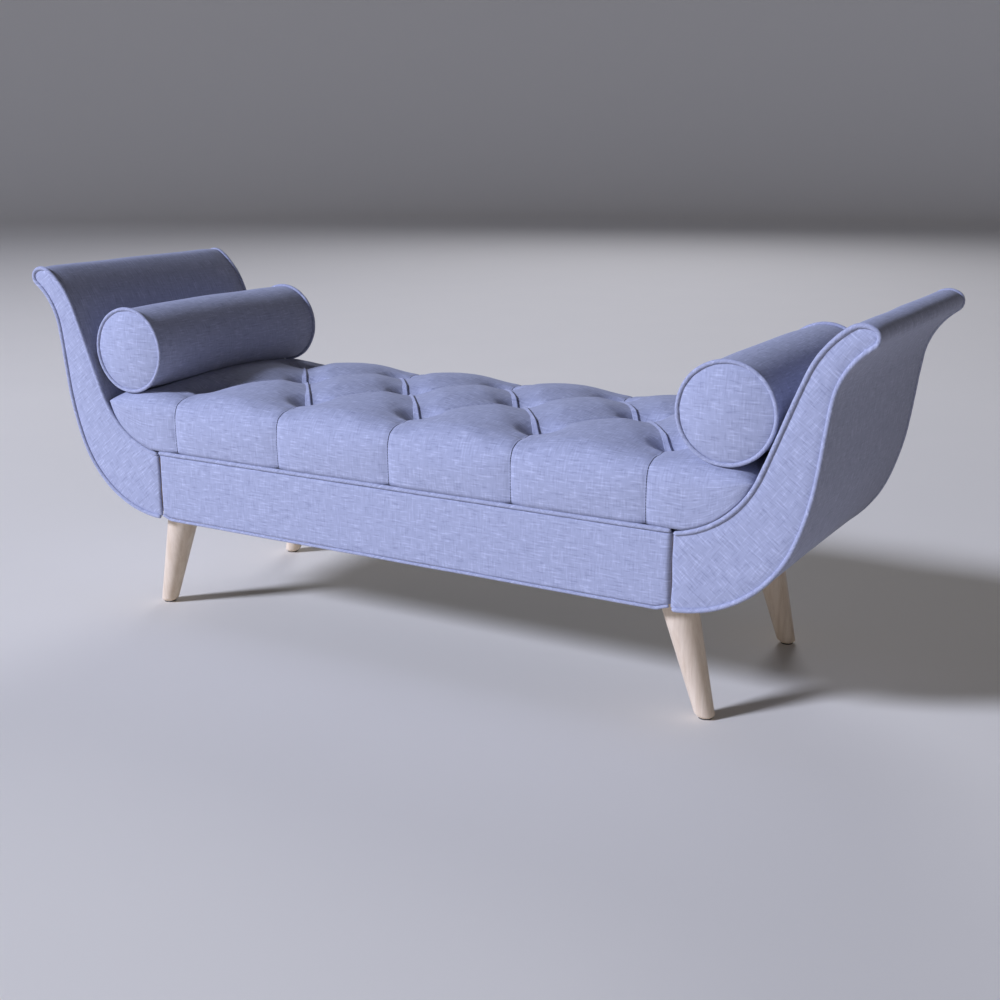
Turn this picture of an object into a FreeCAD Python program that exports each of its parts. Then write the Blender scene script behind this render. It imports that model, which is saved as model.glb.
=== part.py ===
import FreeCAD, Part
import math
import os
import Sketcher
from FreeCAD import Placement, Rotation, Vector

# Backless scroll-arm bench: a tufted seat between two scrolled arms, two loose bolsters and four legs.
# Millimetres. The origin is on the floor under the middle of the bench.
# +X runs along its length and -Y is its front.

DRIVING = [
    ("base_length", 1080, "seat base between the two arm joints"),
    ("body_depth", 500, "arms from front pad edge to rear pad edge"),
    ("joint_gap", 2, "gap beside each arm where the apron ends"),
    ("fit", 0.4, "clearance round screws, cord and loose cushions"),
    ("overcut", 1, "cuts run past a face by this much"),
    ("frame_bottom", 203, "underside of the wooden base"),
    ("rail_height", 102, "height of the base rails"),
    ("rail_thickness", 22, "thickness of the base rails"),
    ("rail_lap", 40, "base rails run this far behind the arm panels"),
    ("cross_rail_height", 60, "height of the cross rails"),
    ("deck_thickness", 12, "plywood seat deck"),
    ("base_pad_thickness", 12, "felt pad on the deck"),
    ("dust_cover_thickness", 1, "cloth under the base"),
    ("apron_proud", 6, "apron in front of the arm pads"),
    ("apron_drop", 6, "apron and its lower piping below the wooden base"),
    ("hem_radius", 3, "piping under the aprons"),
    ("apron_end_round", 8, "round on the apron's two ends"),
    ("apron_edge_round", 3, "round on the apron's long edges"),
    ("welt_radius", 4, "piping cord"),
    ("seat_rise", 133, "top of the seat above its base pad"),
    ("seat_proud", 8, "seat face in front of the arm pads"),
    ("side_draw", 8, "seat sides drawn in at the bottom"),
    ("roll_radius", 50, "round of the seat's long edges"),
    ("crown_radius", 1000, "crown of the seat from front to back"),
    ("end_fall_lead", 40, "seat top starts to fall this far before the arm joint"),
    ("end_fall_radius", 456, "fall of the seat top towards the arms"),
    ("end_corner_out", 100, "seat top ends this far beyond the arm joint"),
    ("end_contact_drop", 48, "seat end lies against the arm up to this far below the seat's top"),
    ("end_bulge", 9, "round of the seat's ends"),
    ("seat_clear", 0.6, "seat end clear of the arm piping"),
    ("tuft_end_margin", 48, "last tuft of a row from the arm joint"),
    ("tuft_edge_margin", 100, "outer rows of tufts from the arm pads' front and rear edges"),
    ("pleat_depth", 24, "pleats between tufts below the seat's top"),
    ("pleat_half_width", 95, "pleat to the crest of a cell"),
    ("pleat_rise", 27, "crest of a cell above its pleats"),
    ("face_seam_depth", 9, "depth of the seams on the long faces"),
    ("face_seam_half_width", 60, "half width of the dip at those seams"),
    ("tuft_depth", 37, "bottom of a tuft below the seat's top"),
    ("tuft_floor_radius", 7, "bottom of a tuft"),
    ("tuft_mouth_radius", 34, "top of a tuft"),
    ("tuft_mouth_rise", 40, "depth of a tuft's flare"),
    ("twine_radius", 1.2, "tuft twine"),
    ("twine_tail", 3, "knot end of the twine under its washer"),
    ("tuft_gap", 4, "pleats end this far from the middle of a tuft"),
    ("washer_radius", 10, "washer that holds a twine under the deck"),
    ("washer_thickness", 3, "thickness of that washer"),
    ("panel_thickness", 18, "plywood arm panels"),
    ("facing_thickness", 7, "padded facing on an arm panel"),
    ("pad_inset", 3, "arm fabric behind the crest of its piping"),
    ("pad_thickness", 8, "arm padding with its fabric"),
    ("liner_thickness", 4, "bent board under the arm padding"),
    ("arm_start_angle", 11, "slope of the arm at the joint, degrees"),
    ("arm_lead", 8, "straight start of the arm"),
    ("arm_hollow_radius", 172.5, "inner hollow of the arm"),
    ("arm_lean_angle", 68.3, "slope of the arm's inner face, degrees"),
    ("arm_face_length", 167, "straight part of the inner face"),
    ("scroll_back_radius", 166, "back of the scroll"),
    ("scroll_back_angle", 34.7, "turn over the scroll's back, degrees"),
    ("scroll_top_radius", 35.5, "top of the scroll"),
    ("scroll_top_angle", 65.1, "turn over the scroll's top, degrees"),
    ("scroll_nose_radius", 19, "nose of the scroll"),
    ("scroll_nose_angle", 114.8, "turn round the nose, degrees"),
    ("neck_radius", 124, "neck under the scroll"),
    ("neck_angle", 48.5, "turn of the neck, degrees"),
    ("outer_face_length", 108, "straight part of the outer face"),
    ("belly_upper_radius", 477.5, "upper belly of the arm"),
    ("belly_upper_angle", 13.8, "turn of the upper belly, degrees"),
    ("belly_lower_radius", 215.5, "lower belly of the arm"),
    ("batten_thickness", 18, "arm battens between the panels"),
    ("batten_width", 36, "width of those battens"),
    ("dowel_radius", 6, "round batten inside the scroll"),
    ("bolt_radius", 3.5, "arm screws"),
    ("bolt_length", 65, "arm screws"),
    ("bolt_head_radius", 7, "heads of the arm screws"),
    ("bolt_head_height", 4, "heads of the arm screws"),
    ("bolt_low_rise", 37, "lower arm screws above the underside of the base"),
    ("bolt_high_rise", 77, "upper arm screws above the underside of the base"),
    ("leg_tilt_angle", 15.6, "splay of the legs, degrees"),
    ("leg_inset", 10, "top of a leg from the arm joint"),
    ("leg_rail_inset", 32, "legs from the outer faces of the long rails"),
    ("leg_top_radius", 31, "leg under the base"),
    ("leg_foot_radius", 16, "leg at the floor"),
    ("leg_foot_ease", 4, "eased edge of the foot"),
    ("leg_spare", 15, "turned length cut off at each end of a leg"),
    ("glide_radius", 11, "glide under a leg"),
    ("glide_height", 2.5, "glide under a leg"),
    ("plate_side", 62, "leg plate"),
    ("plate_thickness", 3, "leg plate"),
    ("plate_screw_reach", 25, "plate screws from the leg's middle"),
    ("screw_radius", 2, "plate screws"),
    ("screw_length", 22, "plate screws above the plate"),
    ("screw_head_radius", 3.4, "plate screws"),
    ("screw_head_height", 2, "plate screws"),
    ("hanger_radius", 4, "hanger bolt in a leg"),
    ("hanger_depth", 35, "hanger bolt inside the leg"),
    ("hanger_rise", 30, "hanger bolt above the plate"),
    ("leg_block_length", 75, "block over a leg, along the bench"),
    ("leg_block_width", 70, "block over a leg, across the bench"),
    ("leg_block_height", 42, "block over a leg"),
    ("bolster_radius", 82, "bolster at its middle"),
    ("bolster_swell", 3, "bolster fuller at its middle than at its ends"),
    ("bolster_short", 24, "sleeve of a bolster shorter than the arm pads"),
    ("bolster_out", 74, "bolster beyond the arm joint"),
    ("bolster_rise", 55, "middle of a bolster above the seat's top"),
    ("sleeve_thickness", 4, "sleeve of a bolster"),
    ("end_edge", 2, "edge of a bolster's end"),
    ("end_dome", 7, "dome of a bolster's end"),
    ("bolster_welt_radius", 3.5, "piping of a bolster"),
]

# Sizes that follow from the driving ones.
DERIVED = [
    ("joint_x", "=base_length / 2"),
    ("pad_face", "=body_depth / 2"),
    ("panel_back", "=body_depth / 2 - panel_thickness"),
    ("rail_back", "=panel_back - rail_thickness"),
    ("rail_top", "=frame_bottom + rail_height"),
    ("deck_top", "=rail_top + deck_thickness"),
    ("seat_bottom", "=deck_top + base_pad_thickness"),
    ("frame_half", "=joint_x + rail_lap"),
    ("apron_face", "=pad_face + apron_proud"),
    ("hem_y", "=apron_face - hem_radius"),
    ("hem_z", "=frame_bottom - apron_drop + hem_radius"),
    ("apron_bottom", "=hem_z + hem_radius"),
    ("apron_top", "=seat_bottom - 2 * welt_radius"),
    ("apron_half", "=joint_x - joint_gap"),
    ("welt_y", "=pad_face + welt_radius"),
    ("welt_z", "=apron_top + welt_radius"),
    ("cross_rail_x", "=base_length / 6"),
    ("seat_crown", "=seat_bottom + seat_rise"),
    ("seat_front", "=pad_face + seat_proud"),
    ("end_fall_start", "=joint_x - end_fall_lead"),
    ("end_corner_x", "=joint_x + end_corner_out"),
    ("end_contact_z", "=seat_crown - end_contact_drop"),
    ("tuft_pitch", "=(joint_x - tuft_end_margin) / 2"),
    ("tuft_row", "=pad_face - tuft_edge_margin"),
    ("pleat_level", "=seat_crown - pleat_depth"),
    ("tuft_floor", "=seat_crown - tuft_depth"),
    ("bolster_length", "=body_depth - bolster_short"),
    ("bolster_x", "=joint_x + bolster_out"),
    ("bolster_z", "=seat_crown + bolster_rise"),
    ("bolt_low_z", "=frame_bottom + bolt_low_rise"),
    ("bolt_high_z", "=frame_bottom + bolt_high_rise"),
    ("leg_top_x", "=joint_x - leg_inset"),
    ("leg_y", "=panel_back - leg_rail_inset"),
    ("arm_start", "=joint_x + joint_gap / 2"),
    ("panel_inset", "=pad_inset + pad_thickness + liner_thickness"),
    ("leg_top_z", "=frame_bottom - plate_thickness"),
    ("leg_sin", "=sin(leg_tilt_angle * 1 deg)"),
    ("leg_cos", "=cos(leg_tilt_angle * 1 deg)"),
    ("leg_rise", "=leg_top_z - glide_height"),
    ("leg_length", "=leg_rise / leg_cos"),
    ("leg_taper", "=(leg_top_radius - leg_foot_radius) / leg_length"),
    ("foot_x", "=leg_top_x + leg_rise * leg_sin / leg_cos"),
    ("bolt_x", "=frame_half - rail_thickness / 2"),
]

doc = FreeCAD.newDocument("scroll_arm_bench")
sheet = doc.addObject("Spreadsheet::Sheet", "Sizes")
for row, (alias, value, note) in enumerate(DRIVING, 1):
    sheet.set(f"A{row}", note)
    sheet.set(f"B{row}", str(value))
    sheet.setAlias(f"B{row}", alias)
for row, (alias, formula) in enumerate(DERIVED, len(DRIVING) + 2):
    sheet.set(f"A{row}", "follows from the sizes above")
    sheet.set(f"B{row}", formula)
    sheet.setAlias(f"B{row}", alias)
doc.recompute()

PIECES = {}
SIDES = (("right", 1), ("left", -1))
ENDS = (("front", -1), ("rear", 1))
SIZE_WORDS = sorted((row[0] for row in DRIVING + DERIVED), key=len, reverse=True)


def size(alias):
    """A size from the sheet, in millimetres or degrees."""
    return float(sheet.get(alias))


def bind(thing, **formulas):
    """Tie properties of an object to the sheet; a double underscore stands for a dot in a property."""
    for prop, formula in formulas.items():
        words = formula.replace("(", " ( ").replace(")", " ) ").split()
        tied = " ".join(f"Sizes.{word}" if word in SIZE_WORDS else word for word in words)
        thing.setExpression(prop.replace("__", "."), tied)
    return thing


def place(thing, x="0", y="0", z="0"):
    """Tie the position of an object to the sheet."""
    return bind(thing, Placement__Base__x=x, Placement__Base__y=y, Placement__Base__z=z)


def keep(label, thing):
    """Name a finished piece of the bench."""
    thing.Label = label
    PIECES[label] = thing
    return thing


def box(name, x, y, z, length, width, height):
    """A block from its low corner and its three sides."""
    block = doc.addObject("Part::Box", name)
    bind(block, Length=length, Width=width, Height=height)
    return place(block, x, y, z)


def rod(name, x, y, z, radius, height, axis=Vector(0, 0, 1)):
    """A round bar from the middle of its lower end."""
    bar = doc.addObject("Part::Cylinder", name)
    bar.Placement = Placement(Vector(), Rotation(Vector(0, 0, 1), axis))
    bind(bar, Radius=radius, Height=height)
    return place(bar, x, y, z)


def cut(name, base, tools):
    """A piece less the tools that drill or trim it."""
    bundle = doc.addObject("Part::Compound", name + "_tools")
    bundle.Links = tools
    result = doc.addObject("Part::Cut", name)
    result.Base = base
    result.Tool = bundle
    return result


def group(label, things):
    """Separate solids of one kind in one piece."""
    bundle = doc.addObject("Part::Compound", label)
    bundle.Links = things
    return keep(label, bundle)


def solid(label, shape):
    """A piece whose form is worked out by the functions above it."""
    thing = doc.addObject("Part::Feature", label)
    thing.Shape = shape
    return keep(label, thing)


def mirrored(label, source):
    """The left twin of a right-hand piece."""
    twin = doc.addObject("Part::Mirroring", label)
    twin.Source = source
    twin.Normal = Vector(1, 0, 0)
    return keep(label, twin)


def signed(sign, formula):
    """A formula on the plus or minus side of the middle."""
    return f"( {formula} )" if sign > 0 else f"-1 * ( {formula} )"


# Wooden base: two long rails, two end rails, two cross rails and a block over each leg.
LEG_CORNERS = [(side, sx, end, sy) for side, sx in SIDES for end, sy in ENDS]
SCREW_STEPS = [(dx, dy) for dx in (-1, 1) for dy in (-1, 1)]
BOLT_LEVELS = ("bolt_low_z", "bolt_high_z")


def leg_screw_holes(name, sx, sy, across):
    """Pilot holes of the plate screws that go up into the base on one side of a leg."""
    holes = []
    for dx in (-1, 1):
        hole_x = signed(sx, f"leg_top_x + {dx} * plate_screw_reach")
        hole_y = signed(sy, f"leg_y + {across} * plate_screw_reach")
        holes.append(rod(name, hole_x, hole_y, "frame_bottom - overcut", "screw_radius + fit",
                         "screw_length + 2 * overcut"))
    return holes


def arm_screw_holes(name, sx, sy, radius):
    """Holes along Y for the two screws that hold one arm panel to the base."""
    holes = []
    for level in BOLT_LEVELS:
        holes.append(rod(name, signed(sx, "bolt_x"), signed(sy, "pad_face + overcut"), level, radius,
                         "bolt_length + 2 * overcut", Vector(0, -sy, 0)))
    return holes


for end, sy in ENDS:
    low_y = "rail_back" if sy > 0 else "-1 * panel_back"
    plain = box(f"{end}_rail_plain", "-1 * frame_half", low_y, "frame_bottom",
                "2 * frame_half", "rail_thickness", "rail_height")
    holes = []
    for side, sx in SIDES:
        holes += leg_screw_holes(f"{end}_rail_screw_hole", sx, sy, 1)
        holes += arm_screw_holes(f"{end}_rail_bolt_hole", sx, sy, "bolt_radius + fit")
    keep(f"{end}_rail", cut(f"{end}_rail", plain, holes))

for side, sx in SIDES:
    low_x = "frame_half - rail_thickness" if sx > 0 else "-1 * frame_half"
    plain = box(f"end_rail_{side}_plain", low_x, "-1 * rail_back", "frame_bottom",
                "rail_thickness", "2 * rail_back", "rail_height")
    holes = [hole for end, sy in ENDS
             for hole in arm_screw_holes(f"end_rail_{side}_hole", sx, sy, "bolt_radius + fit")]
    keep(f"end_rail_{side}", cut(f"end_rail_{side}", plain, holes))

group("cross_rails", [
    box("cross_rail", signed(sx, "cross_rail_x") + " - rail_thickness / 2", "-1 * rail_back",
        "rail_top - cross_rail_height", "rail_thickness", "2 * rail_back", "cross_rail_height")
    for side, sx in SIDES])


# Legs: round tapers, splayed along the bench, level at both ends and held by a plate and a hanger bolt.
def leg_turning(name, kind, sx, sy, below, length):
    """A turned shape on the axis of one leg, starting this far down the axis from the leg's top."""
    thing = doc.addObject(kind, name)
    thing.Placement = Placement(Vector(), Rotation(Vector(0, -sx, 0), size("leg_tilt_angle")))
    bind(thing, Height=length, Placement__Rotation__Angle="leg_tilt_angle")
    return place(thing, signed(sx, f"leg_top_x + ( {below} ) * leg_sin"), signed(sy, "leg_y"),
                 f"leg_top_z - ( {below} ) * leg_cos")


def leg(side, sx, end, sy):
    """One leg: its taper inside an upright flare, which levels both ends and eases the edge of the foot."""
    label = f"leg_{end}_{side}"
    taper = leg_turning(label + "_taper", "Part::Cone", sx, sy, "leg_length + leg_spare",
                        "leg_length + 2 * leg_spare")
    bind(taper, Radius1="leg_foot_radius - leg_spare * leg_taper",
         Radius2="leg_top_radius + leg_spare * leg_taper")
    flare = doc.addObject("Part::Cone", label + "_flare")
    bind(flare, Radius1="leg_foot_radius - leg_foot_ease",
         Radius2="leg_foot_radius - leg_foot_ease + leg_rise", Height="leg_rise")
    place(flare, signed(sx, "foot_x"), signed(sy, "leg_y"), "glide_height")
    levelled = doc.addObject("Part::Common", label + "_levelled")
    levelled.Base = taper
    levelled.Tool = flare
    hole = leg_turning(label + "_hole", "Part::Cylinder", sx, sy, "hanger_depth + fit",
                       "hanger_depth + leg_spare")
    bind(hole, Radius="hanger_radius + fit")
    keep(label, cut(label, levelled, [hole]))


def hanger(name, sx, sy, radius):
    """A hanger bolt, or the hole for one, through a leg plate."""
    bolt = leg_turning(name, "Part::Cylinder", sx, sy, "hanger_depth", "hanger_depth + hanger_rise")
    return bind(bolt, Radius=radius)


def leg_plate(sx, sy):
    """A square plate with a hole for the bolt and one for each screw."""
    plain = box("leg_plate_plain", signed(sx, "leg_top_x") + " - plate_side / 2",
                signed(sy, "leg_y") + " - plate_side / 2", "leg_top_z",
                "plate_side", "plate_side", "plate_thickness")
    holes = [hanger("leg_plate_bolt_hole", sx, sy, "hanger_radius + 2 * fit")]
    for dx, dy in SCREW_STEPS:
        holes.append(rod("leg_plate_screw_hole", signed(sx, f"leg_top_x + {dx} * plate_screw_reach"),
                         signed(sy, f"leg_y + {dy} * plate_screw_reach"), "leg_top_z - overcut",
                         "screw_radius + fit", "plate_thickness + 2 * overcut"))
    return cut("leg_plate", plain, holes)


def plate_screw(sx, sy, dx, dy):
    """A pan-head screw that goes up through a leg plate."""
    screw_x = signed(sx, f"leg_top_x + {dx} * plate_screw_reach")
    screw_y = signed(sy, f"leg_y + {dy} * plate_screw_reach")
    shank = rod("screw_shank", screw_x, screw_y, "leg_top_z", "screw_radius",
                "plate_thickness + screw_length")
    head = rod("screw_head", screw_x, screw_y, "leg_top_z - screw_head_height", "screw_head_radius",
               "screw_head_height")
    screw = doc.addObject("Part::Fuse", "plate_screw")
    screw.Base = shank
    screw.Tool = head
    return screw


def leg_block(sx, sy):
    """A block in the corner of the base, over one leg."""
    inner = "frame_half - rail_thickness"
    low_x = f"{inner} - leg_block_length" if sx > 0 else f"-1 * ( {inner} )"
    low_y = "rail_back - leg_block_width" if sy > 0 else "-1 * rail_back"
    plain = box("leg_block_plain", low_x, low_y, "frame_bottom",
                "leg_block_length", "leg_block_width", "leg_block_height")
    holes = leg_screw_holes("leg_block_screw_hole", sx, sy, -1)
    holes.append(hanger("leg_block_bolt_hole", sx, sy, "hanger_radius + fit"))
    return cut("leg_block", plain, holes)


for side, sx, end, sy in LEG_CORNERS:
    leg(side, sx, end, sy)
group("leg_blocks", [leg_block(sx, sy) for side, sx, end, sy in LEG_CORNERS])
group("leg_plates", [leg_plate(sx, sy) for side, sx, end, sy in LEG_CORNERS])
group("leg_hanger_bolts", [hanger("hanger_bolt", sx, sy, "hanger_radius")
                           for side, sx, end, sy in LEG_CORNERS])
group("leg_plate_screws", [plate_screw(sx, sy, dx, dy) for side, sx, end, sy in LEG_CORNERS
                           for dx, dy in SCREW_STEPS])
group("leg_glides", [rod("leg_glide", signed(sx, "foot_x"), signed(sy, "leg_y"), "0",
                         "glide_radius", "glide_height") for side, sx, end, sy in LEG_CORNERS])


# Seat deck and its felt pad: flat sheets with a hole under every tuft.
TUFT_ROWS = ((-1, (-2, -1, 0, 1, 2)), (0, (-1.5, -0.5, 0.5, 1.5)), (1, (-2, -1, 0, 1, 2)))
TUFTS = [(column, row) for row, columns in TUFT_ROWS for column in columns]


def sketch_on(body, role, name):
    """A sketch on one of the body's own planes."""
    plane = next(feature for feature in body.Origin.OriginFeatures if feature.Role == role)
    sketch = body.newObject("Sketcher::SketchObject", name)
    sketch.AttachmentSupport = [(plane, "")]
    sketch.MapMode = "FlatFace"
    return sketch


def tie(sketch, name, constraint, formula):
    """A named sketch size that follows the sheet."""
    index = sketch.addConstraint(constraint)
    sketch.renameConstraint(index, name)
    bind(sketch, **{f"Constraints__{name}": formula})


def offset_from_middle(sketch, geometry, kind, name, steps, unit):
    """Hold the middle of a circle some steps of a size from the sketch's origin."""
    if steps == 0:
        axis = -2 if kind == "DistanceX" else -1
        sketch.addConstraint(Sketcher.Constraint("PointOnObject", geometry, 3, axis))
        return
    distance = abs(steps) * size(unit)
    ends = (-1, 1, geometry, 3) if steps > 0 else (geometry, 3, -1, 1)
    tie(sketch, name, Sketcher.Constraint(kind, *ends, distance), f"{abs(steps)} * {unit}")


def tuft_sheet(label, half_length, half_width, level, thickness, hole_radius):
    """A rectangular sheet with a round hole under every tuft."""
    body = doc.addObject("PartDesign::Body", label)
    outline = sketch_on(body, "XY_Plane", label + "_outline")
    long_side = size(half_length)
    short_side = size(half_width)
    signs = ((-1, -1), (1, -1), (1, 1), (-1, 1))
    corners = [Vector(a * long_side, b * short_side, 0) for a, b in signs]
    for number in range(4):
        outline.addGeometry(Part.LineSegment(corners[number], corners[(number + 1) % 4]))
    for number in range(4):
        outline.addConstraint(Sketcher.Constraint("Coincident", number, 2, (number + 1) % 4, 1))
        direction = "Vertical" if number % 2 else "Horizontal"
        outline.addConstraint(Sketcher.Constraint(direction, number))
    outline.addConstraint(Sketcher.Constraint("Symmetric", 0, 1, 2, 1, -1, 1))
    tie(outline, "length", Sketcher.Constraint("DistanceX", 0, 1, 0, 2, 2 * long_side), f"2 * {half_length}")
    tie(outline, "width", Sketcher.Constraint("DistanceY", 1, 1, 1, 2, 2 * short_side), f"2 * {half_width}")
    for number, (column, row) in enumerate(TUFTS):
        centre = Vector(column * size("tuft_pitch"), row * size("tuft_row"), 0)
        hole = outline.addGeometry(Part.Circle(centre, Vector(0, 0, 1), size("twine_radius")))
        tie(outline, f"bore{number}", Sketcher.Constraint("Radius", hole, size("twine_radius")), hole_radius)
        offset_from_middle(outline, hole, "DistanceX", f"along{number}", column, "tuft_pitch")
        offset_from_middle(outline, hole, "DistanceY", f"across{number}", row, "tuft_row")
    pad = body.newObject("PartDesign::Pad", label + "_pad")
    pad.Profile = outline
    bind(pad, Length=thickness)
    place(body, z=level)
    keep(label, body)


tuft_sheet("seat_deck", "apron_half", "panel_back", "rail_top",
           "deck_thickness", "twine_radius + fit")
tuft_sheet("seat_base_pad", "apron_half", "panel_back", "deck_top",
           "base_pad_thickness", "twine_radius + fit")


def at_tufts(make):
    """One thing at every tuft."""
    return [make(f"{column} * tuft_pitch", f"{row} * tuft_row") for column, row in TUFTS]


def washer(x, y):
    """A washer under the deck with a hole for the twine."""
    disc = rod("washer_disc", x, y, "rail_top - washer_thickness", "washer_radius", "washer_thickness")
    hole = rod("washer_hole", x, y, "rail_top - washer_thickness - overcut", "twine_radius + fit / 2",
               "washer_thickness + 2 * overcut")
    return cut("washer", disc, [hole])


def twine(x, y):
    """A twine from the bottom of a tuft down through the deck and its washer."""
    low = "rail_top - washer_thickness - twine_tail"
    return rod("twine", x, y, low, "twine_radius", f"tuft_floor - ( {low} )")


group("tuft_twines", at_tufts(twine))
group("tuft_washers", at_tufts(washer))


# Aprons: padded panels over the long rails, piped along the top and the bottom.
def apron_rounds(shape, sy):
    """Edge numbers and radii for the outer edges of an apron: softer at its two ends."""
    face_y = sy * size("apron_face")
    rounds = []
    for number, edge in enumerate(shape.Edges, 1):
        if all(abs(vertex.Y - face_y) < size("fit") for vertex in edge.Vertexes):
            upright = edge.BoundBox.ZLength > edge.BoundBox.XLength
            radius = size("apron_end_round") if upright else size("apron_edge_round")
            rounds.append((number, radius, radius))
    return rounds


def apron(end, sy):
    """One padded panel between the arms."""
    low_y = "panel_back" if sy > 0 else "-1 * apron_face"
    plain = box(f"{end}_apron_plain", "-1 * apron_half", low_y, "apron_bottom",
                "2 * apron_half", "apron_face - panel_back", "apron_top - apron_bottom")
    doc.recompute()
    rounded = doc.addObject("Part::Fillet", f"{end}_apron")
    rounded.Base = plain
    rounded.Edges = apron_rounds(plain.Shape, sy)
    keep(f"{end}_apron", rounded)
    keep(f"{end}_apron_welt", rod(f"{end}_apron_welt", "-1 * apron_half", signed(sy, "welt_y"), "welt_z",
                                  "welt_radius", "2 * apron_half", Vector(1, 0, 0)))
    keep(f"{end}_apron_hem", rod(f"{end}_apron_hem", "-1 * apron_half", signed(sy, "hem_y"), "hem_z",
                                 "hem_radius", "2 * apron_half", Vector(1, 0, 0)))


for end, sy in ENDS:
    apron(end, sy)

cover_z = "frame_bottom - dust_cover_thickness"
dust_plain = box("dust_cover_plain", "-1 * frame_half", "-1 * panel_back", cover_z,
                 "2 * frame_half", "2 * panel_back", "dust_cover_thickness")
dust_holes = [box("dust_cover_notch", signed(sx, "leg_top_x") + " - plate_side / 2 - fit",
                  signed(sy, "leg_y") + " - plate_side / 2 - fit", f"{cover_z} - overcut",
                  "plate_side + 2 * fit", "plate_side + 2 * fit", "dust_cover_thickness + 2 * overcut")
              for side, sx, end, sy in LEG_CORNERS]
keep("dust_cover", cut("dust_cover", dust_plain, dust_holes))


# Arms: one tangent run of lines and arcs, moved inwards for each layer.
def arm_steps():
    """The arm's outline from the joint, up the inner face, over the scroll and down to the belly."""
    lean = size("arm_lean_angle")
    slope = lean - size("scroll_back_angle") - size("scroll_top_angle") - size("scroll_nose_angle")
    slope += size("neck_angle") - size("belly_upper_angle")
    return [
        ("lead", size("arm_lead"), 0),
        ("hollow", size("arm_hollow_radius"), lean - size("arm_start_angle")),
        ("face", size("arm_face_length"), 0),
        ("scroll_back", size("scroll_back_radius"), -size("scroll_back_angle")),
        ("scroll_top", size("scroll_top_radius"), -size("scroll_top_angle")),
        ("nose", size("scroll_nose_radius"), -size("scroll_nose_angle")),
        ("neck", size("neck_radius"), size("neck_angle")),
        ("outer_face", size("outer_face_length"), 0),
        ("belly_upper", size("belly_upper_radius"), -size("belly_upper_angle")),
        ("belly_lower", size("belly_lower_radius"), -(180 + slope)),
    ]


ARM_STEPS = arm_steps()
STEP_NAMES = [name for name, amount, turn in ARM_STEPS]


def heading(angle):
    """Unit vector along a slope in the XZ plane."""
    return Vector(math.cos(math.radians(angle)), 0, math.sin(math.radians(angle)))


def inward(angle):
    """Unit vector to the right of a slope, which points into the arm."""
    return heading(angle - 90)


def arm_points(inset):
    """For each step of the outline: its start, its middle and its end, moved into the arm by the inset."""
    point = Vector(size("joint_x"), 0, size("welt_z"))
    angle = size("arm_start_angle")
    points = {}
    for name, amount, turn in ARM_STEPS:
        start = point + inward(angle) * inset
        if turn == 0:
            middle = None
            point = point + heading(angle) * amount
        else:
            side = math.copysign(1, turn)
            centre = point - inward(angle) * (side * amount)
            middle = centre + inward(angle + turn / 2) * (side * amount + inset)
            angle += turn
            point = centre + inward(angle) * (side * amount)
        points[name] = (start, middle, point + inward(angle) * inset)
    start, middle, end = points["lead"]
    back = (start.x - size("arm_start")) / math.cos(math.radians(size("arm_start_angle")))
    points["lead"] = (start - heading(size("arm_start_angle")) * back, None, end)
    return points


def arm_edges(inset, first, last):
    """Edges of the outline from one named step to another."""
    points = arm_points(inset)
    edges = []
    for name in STEP_NAMES[STEP_NAMES.index(first):STEP_NAMES.index(last) + 1]:
        start, middle, end = points[name]
        curve = Part.Arc(start, middle, end) if middle else Part.LineSegment(start, end)
        edges.append(curve.toShape())
    return edges, points[first][0], points[last][2]


def arm_run(inset, first, stop_x):
    """Edges from one named step to the lower belly, which stops at some distance from the middle."""
    edges, start, end = arm_edges(inset, first, "belly_upper")
    begin, middle, lowest = arm_points(inset)["belly_lower"]
    radius = size("belly_lower_radius") - inset
    centre = lowest + Vector(0, 0, radius)
    stop = Vector(stop_x, 0, centre.z - math.sqrt(radius ** 2 - (stop_x - centre.x) ** 2))
    half_way = centre + (begin + stop - centre * 2).normalize() * radius
    edges.append(Part.Arc(begin, half_way, stop).toShape())
    return edges, start, stop


def closed_face(edges):
    """A flat face inside a ring of edges."""
    return Part.Face(Part.Wire(Part.sortEdges(edges)[0]))


def straight(a, b):
    """A straight edge."""
    return Part.LineSegment(a, b).toShape()


def arm_side(inset):
    """The arm seen from the front, moved in by the inset, cut straight at the joint."""
    edges, start, end = arm_run(inset, "lead", size("arm_start"))
    return closed_face(edges + [straight(end, start)])


def inner_layer(outer, inner):
    """A layer up the inner face of the arm and over the scroll."""
    top, top_start, top_end = arm_edges(outer, "lead", "nose")
    low, low_start, low_end = arm_edges(inner, "lead", "nose")
    return closed_face(top + low + [straight(top_start, low_start), straight(top_end, low_end)])


def outer_layer(outer, inner):
    """A layer from under the scroll down the outer face, ending beside the base's end rail."""
    hem = size("frame_half") + size("joint_gap") / 2
    top, top_start, top_end = arm_run(outer, "neck", hem)
    low, low_start, low_end = arm_run(inner, "neck", hem)
    return closed_face(top + low + [straight(top_start, low_start), straight(top_end, low_end)])


def across(label, face, y, length):
    """A side view carried across the bench."""
    profile = doc.addObject("Part::Feature", label + "_profile")
    profile.Shape = face
    place(profile, y=y)
    block = doc.addObject("Part::Extrusion", label)
    block.Base = profile
    block.DirMode = "Custom"
    block.Dir = Vector(0, 1, 0)
    block.Solid = True
    return bind(block, LengthFwd=length)


def both_arms(name, right_piece):
    """A right-hand arm piece and its left twin."""
    keep(f"{name}_right", right_piece)
    mirrored(f"{name}_left", right_piece)


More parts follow.
